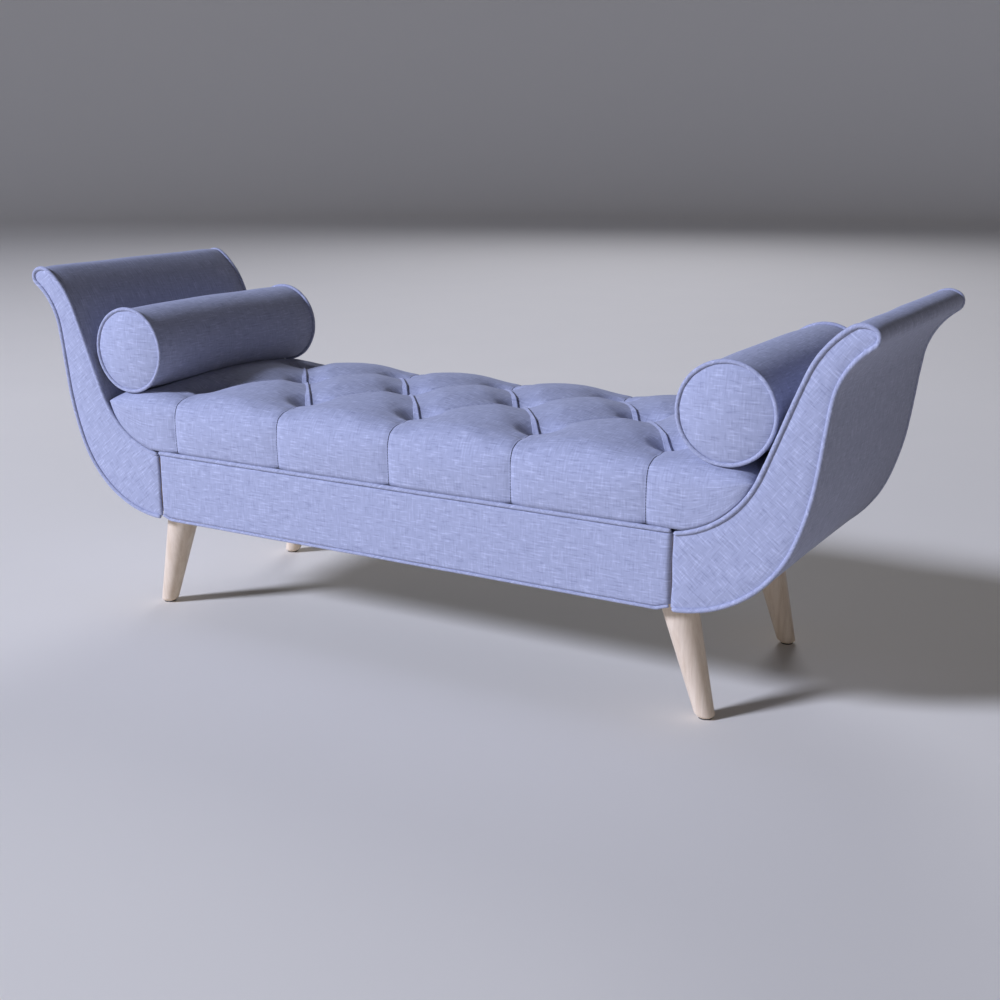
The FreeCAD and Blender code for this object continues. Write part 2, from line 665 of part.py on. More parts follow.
def arm_panel(end, sy):
    """A plywood panel with counterbored holes for the screws into the base."""
    label = f"arm_{end}_panel_right"
    low_y = "panel_back" if sy > 0 else "-1 * pad_face"
    plain = across(label + "_plain", arm_side(size("panel_inset")), low_y, "panel_thickness")
    holes = arm_screw_holes(label + "_hole", 1, sy, "bolt_radius + fit")
    for level in BOLT_LEVELS:
        holes.append(rod(label + "_counterbore", "bolt_x", signed(sy, "pad_face + overcut"), level,
                         "bolt_head_radius + fit", "bolt_head_height + overcut + fit", Vector(0, -sy, 0)))
    return cut(label, plain, holes)


def arm_welt(sy):
    """Piping round the outline of an arm's facing."""
    edges, start, end = arm_run(size("welt_radius"), "lead", size("arm_start"))
    path = Part.Wire(Part.sortEdges(edges)[0])
    path.translate(Vector(0, sy * size("welt_y"), 0))
    first = path.OrderedEdges[0]
    along = first.tangentAt(first.FirstParameter)
    ring = Part.Circle(path.OrderedVertexes[0].Point, along, size("welt_radius"))
    return path.makePipeShell([Part.Wire(ring.toShape())], True, False)


def middle_of(first, second):
    """Halfway between two points of the arm's outline."""
    return (first + second) * 0.5


def arm_battens():
    """Battens across the arm, from panel to panel: a dowel in the scroll and three flat ones."""
    points = arm_points(0)
    dowel_at = middle_of(points["scroll_top"][0], points["neck"][1])
    seats = [
        (middle_of(points["face"][2], points["neck"][2]), size("arm_lean_angle")),
        (middle_of(points["face"][0], points["outer_face"][2]), size("arm_lean_angle")),
        (middle_of(points["hollow"][1], points["belly_lower"][1]), size("arm_start_angle")),
    ]
    low_y = -size("panel_back")
    length = 2 * size("panel_back")
    dowel_end = dowel_at + Vector(0, low_y, 0)
    battens = [Part.makeCylinder(size("dowel_radius"), length, dowel_end, Vector(0, 1, 0))]
    for centre, slope in seats:
        wide = size("batten_width")
        thick = size("batten_thickness")
        batten = Part.makeBox(wide, length, thick, Vector(-wide / 2, low_y, -thick / 2))
        batten.rotate(Vector(), Vector(0, 1, 0), -slope)
        batten.translate(centre)
        battens.append(batten)
    return Part.makeCompound(battens)


for end, sy in ENDS:
    both_arms(f"arm_{end}_panel", arm_panel(end, sy))
    both_arms(f"arm_{end}_facing", across(f"arm_{end}_facing_right", arm_side(2 * size("welt_radius")),
                                          "pad_face" if sy > 0 else "-1 * ( pad_face + facing_thickness )",
                                          "facing_thickness"))
    both_arms(f"arm_{end}_welt", solid(f"arm_{end}_welt_right", arm_welt(sy)))

pad_low = size("pad_inset") + size("pad_thickness")
for name, layer in (("inner", inner_layer), ("outer", outer_layer)):
    both_arms(f"arm_{name}_liner", across(f"arm_{name}_liner_right", layer(pad_low, size("panel_inset")),
                                          "-1 * pad_face", "body_depth"))
    both_arms(f"arm_{name}_pad", across(f"arm_{name}_pad_right", layer(size("pad_inset"), pad_low),
                                        "-1 * pad_face", "body_depth"))
both_arms("arm_battens", solid("arm_battens_right", arm_battens()))


def arm_screw(sx, sy, level):
    """A flat-head screw through an arm panel and a long rail into an end rail."""
    axis = Vector(0, -sy, 0)
    head = rod("arm_screw_head", signed(sx, "bolt_x"), signed(sy, "pad_face"), level,
               "bolt_head_radius", "bolt_head_height", axis)
    shank = rod("arm_screw_shank", signed(sx, "bolt_x"), signed(sy, "pad_face - bolt_head_height"), level,
                "bolt_radius", "bolt_length - bolt_head_height", axis)
    screw = doc.addObject("Part::Fuse", "arm_screw")
    screw.Base = head
    screw.Tool = shank
    return screw


group("arm_screws", [arm_screw(sx, sy, level) for side, sx, end, sy in LEG_CORNERS for level in BOLT_LEVELS])


# Tufted seat: a crowned block between the arms, dented by the bolsters and drawn down along the pleats.
def seat_long_section():
    """The seat seen from the front: flat under, against the arms and falling towards the bolsters."""
    start, middle, end = arm_points(0)["hollow"]
    centre = Vector(start.x, 0, start.z) - inward(size("arm_start_angle")) * size("arm_hollow_radius")
    radius = size("arm_hollow_radius") - size("seat_clear")

    def on_arm(level):
        return Vector(centre.x + math.sqrt(radius ** 2 - (level - centre.z) ** 2), 0, level)

    low = on_arm(size("seat_bottom"))
    high = on_arm(size("end_contact_z"))
    half_way = on_arm((low.z + high.z) / 2)
    fall = size("end_fall_radius")

    def on_fall(x):
        drop = fall - math.sqrt(fall ** 2 - (x - size("end_fall_start")) ** 2)
        return Vector(x, 0, size("seat_crown") - drop)

    flat_end = on_fall(size("end_fall_start"))
    corner = on_fall(size("end_corner_x"))
    fall_middle = on_fall((flat_end.x + corner.x) / 2)
    chord = corner - high
    bulge = middle_of(high, corner) + Vector(chord.z, 0, -chord.x).normalize() * size("end_bulge")
    edges = []
    for sign in (1, -1):
        def turned(point):
            return Vector(sign * point.x, 0, point.z)
        arcs = ((low, half_way, high), (high, bulge, corner), (corner, fall_middle, flat_end))
        for first, between, last in arcs:
            edges.append(Part.Arc(turned(first), turned(between), turned(last)).toShape())
    edges.append(straight(Vector(-low.x, 0, low.z), low))
    edges.append(straight(Vector(-flat_end.x, 0, flat_end.z), flat_end))
    return closed_face(edges)


def seat_cross_section():
    """The seat seen from its end: drawn in at the bottom, rolled over the long edges and crowned."""
    roll = size("roll_radius")
    crown = size("crown_radius")
    front = size("seat_front")
    crown_centre = Vector(0, 0, size("seat_crown") - crown)
    reach = front - roll
    roll_centre = Vector(0, reach, crown_centre.z + math.sqrt((crown - roll) ** 2 - reach ** 2))
    touch = crown_centre + (roll_centre - crown_centre).normalize() * crown
    face_top = Vector(0, front, roll_centre.z)
    bisector = ((touch - roll_centre) + Vector(0, roll, 0)).normalize()
    roll_middle = roll_centre + bisector * roll
    foot = Vector(0, front - size("side_draw"), size("seat_bottom"))
    rise = face_top.z - foot.z
    side_radius = (rise ** 2 + size("side_draw") ** 2) / (2 * size("side_draw"))
    half_angle = math.asin(rise / side_radius) / 2
    side_middle = Vector(0, front - side_radius * (1 - math.cos(half_angle)),
                         face_top.z - side_radius * math.sin(half_angle))
    edges = []
    for sign in (1, -1):
        def turned(point):
            return Vector(0, sign * point.y, point.z)
        for first, between, last in ((foot, side_middle, face_top), (face_top, roll_middle, touch)):
            edges.append(Part.Arc(turned(first), turned(between), turned(last)).toShape())
    other_touch = Vector(0, -touch.y, touch.z)
    edges.append(Part.Arc(other_touch, Vector(0, 0, size("seat_crown")), touch).toShape())
    edges.append(straight(Vector(0, -foot.y, foot.z), foot))
    return closed_face(edges)


def dip(base, side, out, half_width, rise, length):
    """A valley between two rounded cells: two arcs that meet in a crease, carried along the length."""
    radius = (half_width ** 2 + rise ** 2) / (2 * rise)

    def on_arc(step):
        lift = rise - radius + math.sqrt(radius ** 2 - (half_width - step) ** 2)
        return lift

    edges = []
    rim = []
    for sign in (1, -1):
        between = base + side * (sign * half_width / 2) + out * on_arc(half_width / 2)
        shoulder = base + side * (sign * half_width) + out * rise
        rim.append(shoulder + out * half_width)
        edges.append(Part.Arc(base, between, shoulder).toShape())
        edges.append(straight(shoulder, rim[-1]))
    edges.append(straight(rim[0], rim[1]))
    return closed_face(edges).extrude(length)


def tuft_point(column, row, level):
    """A point of the tuft pattern at some height."""
    return Vector(column * size("tuft_pitch"), row * size("tuft_row"), level)


def pleat(first, second):
    """The valley along one pleat, stopping short of the tufts at its ends."""
    along = second - first
    along.normalize()
    start = first + along * size("tuft_gap")
    run = second - first - along * (2 * size("tuft_gap"))
    up = Vector(0, 0, 1)
    return dip(start, up.cross(along), up, size("pleat_half_width"), size("pleat_rise"), run)


def seat_dips():
    """Every pleat between tufts, and every seam from an outer row over the long edge and down the face."""
    level = size("pleat_level")
    front = size("seat_front")
    dips = []
    for row, columns in TUFT_ROWS:
        if row == 0:
            continue
        for column in TUFT_ROWS[1][1]:
            for step in (-0.5, 0.5):
                dips.append(pleat(tuft_point(column, 0, level), tuft_point(column + step, row, level)))
        for column in columns:
            tuft = tuft_point(column, row, level)
            edge = Vector(tuft.x, row * (front + size("pleat_half_width")), level)
            dips.append(pleat(tuft, edge))
            crease_y = row * (front - size("face_seam_depth"))
            crease = Vector(tuft.x, crease_y, size("seat_bottom") - size("fit"))
            up = Vector(0, 0, size("seat_crown") - size("seat_bottom"))
            rise = size("face_seam_depth") + size("side_draw") / 2
            half_width = size("face_seam_half_width")
            dips.append(dip(crease, Vector(1, 0, 0), Vector(0, row, 0), half_width, rise, up))
    return dips


def seat_sockets():
    """Flared tufts with a hole for each twine, and the dents under the bolsters."""
    sockets = []
    for column, row in TUFTS:
        floor = tuft_point(column, row, size("tuft_floor"))
        sockets.append(Part.makeCone(size("tuft_floor_radius"), size("tuft_mouth_radius"),
                                     size("tuft_mouth_rise"), floor))
        below = tuft_point(column, row, size("seat_bottom") - size("fit"))
        bore = size("twine_radius") + size("fit")
        sockets.append(Part.makeCylinder(bore, floor.z - below.z + size("fit"), below))
    reach = size("seat_front") + size("roll_radius")
    for side, sx in SIDES:
        start = Vector(sx * size("bolster_x"), -reach, size("bolster_z"))
        dent = size("bolster_radius") + size("fit")
        sockets.append(Part.makeCylinder(dent, 2 * reach, start, Vector(0, 1, 0)))
    return sockets


def seat_cushion():
    """The tufted seat as one solid."""
    reach = size("seat_front") + size("roll_radius")
    length = size("base_length")
    along = seat_long_section()
    along.translate(Vector(0, -reach, 0))
    block = along.extrude(Vector(0, 2 * reach, 0))
    across_face = seat_cross_section()
    across_face.translate(Vector(-length, 0, 0))
    block = block.common(across_face.extrude(Vector(2 * length, 0, 0)))
    return block.cut(seat_dips()).cut(seat_sockets())


solid("seat_cushion", seat_cushion())


# Bolsters: a stuffed core in a sleeve, closed by a domed disc and a ring of piping at each end.
def turned_solid(profile):
    """A solid turned about the bolster's own axis."""
    return closed_face(profile).revolve(Vector(), Vector(0, 0, 1), 360)


def flat_edges(points):
    """Straight edges through points beside the bolster's axis."""
    return [straight(Vector(a[0], 0, a[1]), Vector(b[0], 0, b[1])) for a, b in zip(points, points[1:])]


def bolster_end():
    """The domed disc at the front end of a bolster."""
    half = size("bolster_length") / 2
    radius = size("bolster_radius") - 2 * size("bolster_welt_radius")
    edge = half + size("end_edge")
    apex = half + size("end_dome")
    dome = (radius ** 2 + (apex - edge) ** 2) / (2 * (apex - edge))
    middle = Vector(radius / 2, 0, apex - dome + math.sqrt(dome ** 2 - (radius / 2) ** 2))
    profile = flat_edges([(0, apex), (0, half), (radius, half), (radius, edge)])
    profile.append(Part.Arc(Vector(radius, 0, edge), middle, Vector(0, 0, apex)).toShape())
    return turned_solid(profile)


def bolster(side, sx):
    """The pieces of one bolster in their places, its axis from front to rear."""
    half = size("bolster_length") / 2
    full = size("bolster_radius")
    slim = full - size("bolster_swell")
    bore = slim - size("sleeve_thickness")
    welt = size("bolster_welt_radius")
    sleeve = flat_edges([(slim, half), (bore, half), (bore, -half), (slim, -half)])
    sleeve.append(Part.Arc(Vector(slim, 0, half), Vector(full, 0, 0), Vector(slim, 0, -half)).toShape())
    core = flat_edges([(0, half), (bore, half), (bore, -half), (0, -half), (0, half)])
    rings = [Part.makeTorus(full - welt, welt, Vector(0, 0, step * (half + welt))) for step in (1, -1)]
    shapes = {
        "core": turned_solid(core),
        "sleeve": turned_solid(sleeve),
        "front_end": bolster_end(),
        "rear_end": bolster_end().mirror(Vector(), Vector(0, 0, 1)),
        "welts": Part.makeCompound(rings),
    }
    centre = Vector(sx * size("bolster_x"), 0, size("bolster_z"))
    for name, shape in shapes.items():
        piece = solid(f"bolster_{side}_{name}", shape)
        piece.Placement = Placement(centre, Rotation(Vector(1, 0, 0), 90))


for side, sx in SIDES:
    bolster(side, sx)

doc.recompute()
faults = [thing.Label for thing in doc.Objects if {"Invalid", "Error"} & set(thing.State)]
faults += [label for label, thing in PIECES.items() if thing.Shape.isNull() or not thing.Shape.isValid()]
if faults:
    raise RuntimeError(f"these pieces failed: {faults}")

os.makedirs("parts", exist_ok=True)
for label, thing in PIECES.items():
    thing.Shape.exportStep(f"parts/{label}.step")
print(f"{len(PIECES)} pieces, {sum(len(thing.Shape.Solids) for thing in PIECES.values())} solids")
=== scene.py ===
# %% [markdown]
# # Dressing a tufted scroll-arm bench
# The frame of this bench, with its rails, panels, legs and joints, is already drawn as solids. This
# lesson sews the upholstery over it: a tufted seat, two scrolled arms with piped edges, two bolsters that
# lift out, and the black cloth under the seat. Where a size can be measured from the solids it is, so that
# the cloth fits them. The rest, such as the pitch of the tufts, is given where it is first needed.

# %% Load the frame
import math
import bmesh
import bpy
import numpy as np
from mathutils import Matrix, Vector


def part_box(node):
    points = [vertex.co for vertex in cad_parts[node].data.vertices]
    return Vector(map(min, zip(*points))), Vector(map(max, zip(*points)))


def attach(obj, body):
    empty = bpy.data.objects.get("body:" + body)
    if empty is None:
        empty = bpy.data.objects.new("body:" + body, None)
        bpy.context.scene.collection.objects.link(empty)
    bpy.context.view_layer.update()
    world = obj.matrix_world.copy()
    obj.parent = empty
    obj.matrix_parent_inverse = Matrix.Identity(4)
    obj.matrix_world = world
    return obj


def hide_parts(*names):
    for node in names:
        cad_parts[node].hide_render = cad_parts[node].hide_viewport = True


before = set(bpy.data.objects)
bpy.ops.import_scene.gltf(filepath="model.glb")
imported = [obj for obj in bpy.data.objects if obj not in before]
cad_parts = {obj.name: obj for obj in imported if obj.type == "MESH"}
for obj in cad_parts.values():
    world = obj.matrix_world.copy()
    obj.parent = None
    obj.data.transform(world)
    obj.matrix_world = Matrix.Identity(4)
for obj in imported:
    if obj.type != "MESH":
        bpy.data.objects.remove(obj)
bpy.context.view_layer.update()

# %% [markdown]
# ## Ways of working
# All the covers are grids of points: rows along the cloth and columns across it. A grid keeps the length
# along the threads, so the weave can be laid on the cloth in metres and runs the way the cloth was cut. A
# sculpted lump would look soft too, but its weave would slide about.

# %% Grids that become cloth
MM = 0.001


def patch(points, weave, wrap=False):
    """Quads over a grid of points. Weave holds the place on the flat cloth of every corner, in metres."""
    points = np.asarray(points, float)
    rows, columns = points.shape[:2]
    last = columns if wrap else columns - 1
    row, column = np.meshgrid(np.arange(rows - 1), np.arange(last), indexing="ij")
    row, column = row.ravel(), column.ravel()
    after = (column + 1) % columns
    faces = np.stack([row * columns + column, (row + 1) * columns + column,
                      (row + 1) * columns + after, row * columns + after], 1)
    corners = np.stack([weave[row, column], weave[row + 1, column],
                        weave[row + 1, column + 1], weave[row, column + 1]], 1)
    return points.reshape(-1, 3), faces, corners


def creased(laid, rising):
    """Splits each quad of a patch in two, along one diagonal where rising is true, else along the other."""
    points, faces, corners = laid
    one = np.where(rising[:, None], [0, 1, 2], [0, 1, 3])
    two = np.where(rising[:, None], [0, 2, 3], [1, 2, 3])
    pick = np.arange(len(faces))[:, None]
    return (points, np.concatenate([faces[pick, one], faces[pick, two]]),
            np.concatenate([corners[pick, one], corners[pick, two]]))


def closed_pad(outer, inner, weave, turn_in):
    """The patches of a pad: its outer cloth, its inner one and the strips that join their four edges."""
    patches = [patch(outer, weave), patch(inner, weave)]
    for edge in (np.s_[0], np.s_[-1], np.s_[:, 0], np.s_[:, -1]):
        laid = weave[edge]
        patches.append(patch(np.stack([outer[edge], inner[edge]]), np.stack([laid, laid + [0, turn_in]])))
    return patches


print("a grid of 3 by 4 points makes", len(patch(np.zeros((3, 4, 3)), np.zeros((3, 4, 2)))[1]), "quads")

# %% Sew patches into one piece
WELD = 0.01 * MM


def sew(name, patches, material):
    """One object from several patches, welded along the edges they share."""
    points, faces, corners, first = [], [], [], 0
    for p, f, c in patches:
        points.append(p)
        faces += (f + first).tolist()
        corners.append(c.reshape(-1, 2))
        first += len(p)
    mesh = bpy.data.meshes.new(name)
    mesh.from_pydata(np.concatenate(points).tolist(), [], faces)
    layer = mesh.uv_layers.new(name="weave")
    layer.data.foreach_set("uv", np.concatenate(corners).astype(np.float32).ravel())
    work = bmesh.new()
    work.from_mesh(mesh)
    bmesh.ops.remove_doubles(work, verts=work.verts, dist=WELD)
    bmesh.ops.dissolve_degenerate(work, edges=work.edges, dist=WELD)
    bmesh.ops.recalc_face_normals(work, faces=work.faces)
    for face in work.faces:
        face.smooth = True
    work.to_mesh(mesh)
    work.free()
    mesh.materials.append(material)
    piece = bpy.data.objects.new(name, mesh)
    bpy.context.scene.collection.objects.link(piece)
    return piece


print("patches are welded where they come within", WELD, "m")

# %% Lengths and unevenness
WAVES, USUAL_PEAK = 7, 1.6


def lengths(path):
    """Distance along a path to each of its points."""
    steps = np.linalg.norm(np.diff(path, axis=0), axis=1)
    return np.concatenate([[0.0], np.cumsum(steps)])


def ripple(a, b, seed, size):
    """A smooth, hand-made unevenness of about -1 to 1 over two coordinates, in waves of about one size."""
    chance = np.random.default_rng(seed)
    total = np.zeros(np.broadcast(a, b).shape)
    for _ in range(WAVES):
        turn, start = chance.uniform(0, 2 * math.pi, 2)
        wave = size * chance.uniform(0.7, 1.8)
        total = total + np.sin((a * math.cos(turn) + b * math.sin(turn)) * 2 * math.pi / wave + start)
    return total / WAVES ** 0.5 / USUAL_PEAK


def smooth_step(x):
    """Eases from 0 to 1 while x goes from 0 to 1."""
    x = np.clip(x, 0.0, 1.0)
    return x * x * (3 - 2 * x)


print("halfway, a smooth step has risen to", smooth_step(0.5))

# %% [markdown]
# ## Materials
# The covers are a light blue-grey linen: a plain weave of uneven yarns, with thick slubs that show as
# pale and dark streaks along both directions of the thread. Its surface is matt with a faint soft edge of
# loose fibre. The legs are pale beech with an oiled sheen. The rest is hidden timber, plywood, steel and
# felt. A picture of cloth would be quicker, but a pattern drawn by nodes from real sizes keeps its scale on
# every piece and can be repainted later.

# %% Colours and nodes
def linear(code):
    """A colour as linear light, from the hex code that a screen shows."""
    parts = [int(code[i:i + 2], 16) / 255 for i in (0, 2, 4)]
    return [p / 12.92 if p <= 0.04045 else ((p + 0.055) / 1.055) ** 2.4 for p in parts] + [1.0]


def node(tree, kind, links=(), values=(), **settings):
    """Adds a node, sets it, fills its sockets and links them."""
    made = tree.nodes.new(kind)
    for key, value in settings.items():
        setattr(made, key, value)
    for socket, value in dict(values).items():
        made.inputs[socket].default_value = value
    for socket, source in dict(links).items():
        tree.links.new(source, made.inputs[socket])
    return made


def blank(name):
    """A material with an empty tree, its shader and its output."""
    made = bpy.data.materials.new(name)
    made.use_nodes = True
    tree = made.node_tree
    tree.nodes.clear()
    shader = node(tree, "ShaderNodeBsdfPrincipled")
    node(tree, "ShaderNodeOutputMaterial", {"Surface": shader.outputs["BSDF"]})
    return made, tree, shader


def stops(ramp, pairs):
    """Sets a colour ramp's stops from pairs of place and hex colour."""
    while len(ramp.color_ramp.elements) < len(pairs):
        ramp.color_ramp.elements.new(0.5)
    for stop, (place, code) in zip(ramp.color_ramp.elements, pairs):
        stop.position = place
        stop.color = linear(code)


def surface(tree, shader, ramp, bump, values):
    """Links a colour ramp and a bump to a shader, and sets the values that are the same all over."""
    tree.links.new(ramp.outputs["Color"], shader.inputs["Base Color"])
    tree.links.new(bump.outputs["Normal"], shader.inputs["Normal"])
    for socket, value in values.items():
        shader.inputs[socket].default_value = value


print("mid grey as linear light:", round(linear("808080")[0], 3))

# %% Slub linen
YARN = 2.2 * MM  # real yarns lie about 1.1 mm apart: drawn twice as coarse, so that they show
SLUB_WIDE, WARP_SLUB, WEFT_SLUB = 3 * MM, 24 * MM, 27 * MM
WARP_SHARE, WEFT_SHARE, PLAIN_SHADE = 0.22, 0.36, 0.37
THIN_FULL, THIN_FROM, THICK_FROM, THICK_FULL = 0.24, 0.42, 0.55, 0.78
BLOTCH, BLOTCH_SHARE, CROSSING_SHARE = 1 / 90, 0.26, 0.2


def linen(name, shades):
    """Slub linen: thick yarns show as pale dashes about 25 mm long, and thin ones as dark dashes."""
    made, tree, shader = blank(name)
    weave = node(tree, "ShaderNodeUVMap", uv_map="weave").outputs["UV"]
    slubs = []
    for wide, long, share in ((SLUB_WIDE, WARP_SLUB, WARP_SHARE), (WEFT_SLUB, SLUB_WIDE, WEFT_SHARE)):
        along = node(tree, "ShaderNodeVectorMath", {0: weave}, {1: (1 / wide, 1 / long, 1.0)},
                     operation="MULTIPLY")
        noise = node(tree, "ShaderNodeTexNoise", {"Vector": along.outputs[0]},
                     {"Scale": 1.0, "Detail": 2.0, "Roughness": 0.5}, noise_dimensions="2D")
        thick = node(tree, "ShaderNodeMapRange", {"Value": noise.outputs["Fac"]},
                     {"From Min": THICK_FROM, "From Max": THICK_FULL, "To Min": 0.0, "To Max": share},
                     interpolation_type="SMOOTHSTEP")
        thin = node(tree, "ShaderNodeMapRange", {"Value": noise.outputs["Fac"]},
                    {"From Min": THIN_FULL, "From Max": THIN_FROM, "To Min": -share, "To Max": 0.0},
                    interpolation_type="SMOOTHSTEP")
        slubs.append(node(tree, "ShaderNodeMath", {0: thick.outputs[0], 1: thin.outputs[0]},
                          operation="ADD"))
    both = node(tree, "ShaderNodeMath", {0: slubs[0].outputs[0], 1: slubs[1].outputs[0]}, operation="ADD")
    both = node(tree, "ShaderNodeMath", {0: both.outputs[0]}, {1: PLAIN_SHADE}, operation="ADD")
    cloud = node(tree, "ShaderNodeTexNoise", {"Vector": weave}, {"Scale": 1 / BLOTCH, "Detail": 4.0},
                 noise_dimensions="2D")
    shade = node(tree, "ShaderNodeMath", {0: cloud.outputs["Fac"], 2: both.outputs[0]}, {1: BLOTCH_SHARE},
                 operation="MULTIPLY_ADD")
    ramp = node(tree, "ShaderNodeValToRGB", {"Fac": shade.outputs[0]})
    stops(ramp, shades)
    axes = node(tree, "ShaderNodeSeparateXYZ", {0: weave})
    waves = []
    for axis in (0, 1):
        turns = node(tree, "ShaderNodeMath", {0: axes.outputs[axis]}, {1: 2 * math.pi / YARN},
                     operation="MULTIPLY")
        waves.append(node(tree, "ShaderNodeMath", {0: turns.outputs[0]}, operation="SINE"))
    crossing = node(tree, "ShaderNodeMath", {0: waves[0].outputs[0], 1: waves[1].outputs[0]},
                    operation="MULTIPLY")
    height = node(tree, "ShaderNodeMath", {0: crossing.outputs[0], 2: both.outputs[0]}, {1: CROSSING_SHARE},
                  operation="MULTIPLY_ADD")
    bump = node(tree, "ShaderNodeBump", {"Height": height.outputs[0]},
                {"Strength": 0.10, "Distance": 0.5 * MM})
    surface(tree, shader, ramp, bump, {"Roughness": 0.9, "IOR": 1.46, "Specular IOR Level": 0.2,
                                       "Sheen Weight": 0.06, "Sheen Roughness": 0.5})
    return made


# Linen, woven: matt, with pale and dark dashes along both threads and a faint soft edge.
finishes = {"linen": linen("slub_linen", [(0.1, "979AAF"), (0.5, "A9ACC0"), (0.95, "C1C4D7")])}
print("linen drawn with yarns", YARN / MM, "mm apart")

# %% Timber and board
def grained(name, pale, dark, grain, roughness, coat=0.0):
    """Timber or board: streaks along one axis of the object, from the grain's size in metres on each."""
    made, tree, shader = blank(name)
    place = node(tree, "ShaderNodeTexCoord").outputs["Object"]
    along = node(tree, "ShaderNodeVectorMath", {0: place}, {1: [1 / g for g in grain]}, operation="MULTIPLY")
    broad = node(tree, "ShaderNodeTexNoise", {"Vector": along.outputs[0]},
                 {"Scale": 1.0, "Detail": 4.0, "Roughness": 0.6, "Distortion": 0.3})
    fine = node(tree, "ShaderNodeTexNoise", {"Vector": along.outputs[0]}, {"Scale": 6.0, "Detail": 2.0})
    shade = node(tree, "ShaderNodeMath", {0: fine.outputs["Fac"], 2: broad.outputs["Fac"]}, {1: 0.35},
                 operation="MULTIPLY_ADD")
    ramp = node(tree, "ShaderNodeValToRGB", {"Fac": shade.outputs[0]})
    stops(ramp, [(0.42, dark), (0.85, pale)])
    bump = node(tree, "ShaderNodeBump", {"Height": fine.outputs["Fac"]},
                {"Strength": 0.12, "Distance": 0.3 * MM})
    surface(tree, shader, ramp, bump, {"Roughness": roughness, "IOR": 1.5, "Coat Weight": coat})
    return made


# Beech, turned and oiled: pale straight grain, 12 mm wide and 160 mm long, with a soft gleam.
finishes["pale_beech"] = grained("pale_beech", "EEDAC0", "D8C0A2", (12 * MM, 12 * MM, 160 * MM), 0.42, 0.15)
# Pine, planed: broad warm stripes along the rail and no gleam.
finishes["softwood"] = grained("pine_rails", "D9BE8E", "B78F57", (250 * MM, 20 * MM, 12 * MM), 0.7)
# Birch plywood, sanded: pale and quiet, with soft streaks.
finishes["plywood"] = grained("birch_plywood", "D8C09A", "B99B70", (140 * MM, 20 * MM, 20 * MM), 0.65)
print("with timber and board:", sorted(finishes))

# %% Felt, thread, plastic and steel
def speckled(name, first, second, size, roughness, metal=0.0):
    """Felt, thread, plastic or plated steel: two shades mixed in spots of one size in metres."""
    made, tree, shader = blank(name)
    place = node(tree, "ShaderNodeTexCoord").outputs["Object"]
    spots = node(tree, "ShaderNodeTexNoise", {"Vector": place}, {"Scale": 1 / size, "Detail": 3.0})
    ramp = node(tree, "ShaderNodeValToRGB", {"Fac": spots.outputs["Fac"]})
    stops(ramp, [(0.35, first), (0.65, second)])
    bump = node(tree, "ShaderNodeBump", {"Height": spots.outputs["Fac"]},
                {"Strength": 0.2, "Distance": 0.2 * MM})
    surface(tree, shader, ramp, bump, {"Roughness": roughness, "Metallic": metal})
    return made


# Wool felt, pressed: mottled grey, with no gleam at all.
finishes["felt"] = speckled("grey_felt", "5C5E63", "8A8C91", 4 * MM, 1.0)
# Polyester fibre, carded: white and fluffy.
finishes["fibre_fill"] = speckled("polyester_fibre", "DCDCD8", "F2F2EE", 6 * MM, 1.0)
# Flax twine, twisted and waxed: straw coloured, nearly matt.
finishes["twine"] = speckled("waxed_twine", "B9A98A", "D8CBB0", 2 * MM, 0.8)
# Steel, zinc plated: grey metal with a cloudy gleam.
finishes["zinc_steel"] = speckled("zinc_plated_steel", "8F9296", "B4B7BA", 10 * MM, 0.35, 1.0)
# Nylon, moulded: dark and smooth, half matt.
finishes["glide_plastic"] = speckled("nylon_glide", "3A3834", "4A4843", 3 * MM, 0.5)
# Polypropylene, spun and bonded: black and dull.
finishes["dust_cloth"] = speckled("black_dust_cloth", "17171A", "232327", 2 * MM, 0.95)
# Polyester thread, spun: dark grey, partly its own colour and partly painted shade, so that a seam reads as
# the dark line of its crease.
thread_and_painted_shade = speckled("dark_thread_and_painted_shade", "41444F", "535662", 1 * MM, 0.8)
print("all finishes:", sorted(finishes))

# %% Finish the solids
CLOTH_PARTS = ("apron", "arm_inner_pad", "arm_outer_pad", "facing", "welt", "bolster", "seat_cushion")


def finish_of(name):
    """The finish that a solid's name asks for."""
    if "leg_glides" in name:
        return "glide_plastic"
    if any(word in name for word in ("plates", "screws", "bolts", "washers")):
        return "zinc_steel"
    if "core" in name:
        return "fibre_fill"
    if any(word in name for word in CLOTH_PARTS):
        return "linen"
    if "base_pad" in name:
        return "felt"
    if "dust" in name:
        return "dust_cloth"
    if "twine" in name:
        return "twine"
    if any(word in name for word in ("deck", "panel", "liner")):
        return "plywood"
    if name.startswith("leg_") and "blocks" not in name:
        return "pale_beech"
    return "softwood"


for name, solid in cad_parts.items():
    for place in solid.material_slots:
        place.link = "OBJECT"
        place.material = finishes[finish_of(name)]
print("finished", len(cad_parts), "solids")

# %% Tie a piece to its body
def dress(piece, body, slot, *nodes, fill=None):
    """Ties a finished piece to the body it moves with, and hides the solids it stands for."""
    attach(piece, body)
    if nodes:
        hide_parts(*nodes)
    print(f"{piece.name}: {len(piece.data.vertices)} points")


# %% [markdown]
# ## The arms' outline
# Both arms are cut to one scroll outline. Rather than draw it again, its points are read from the flat
# front of the facing solid, and a smooth curve is run through them. Everything on the arm, the welts, the
# inside cover and the outside cover, is then that curve moved outwards by a few millimetres.

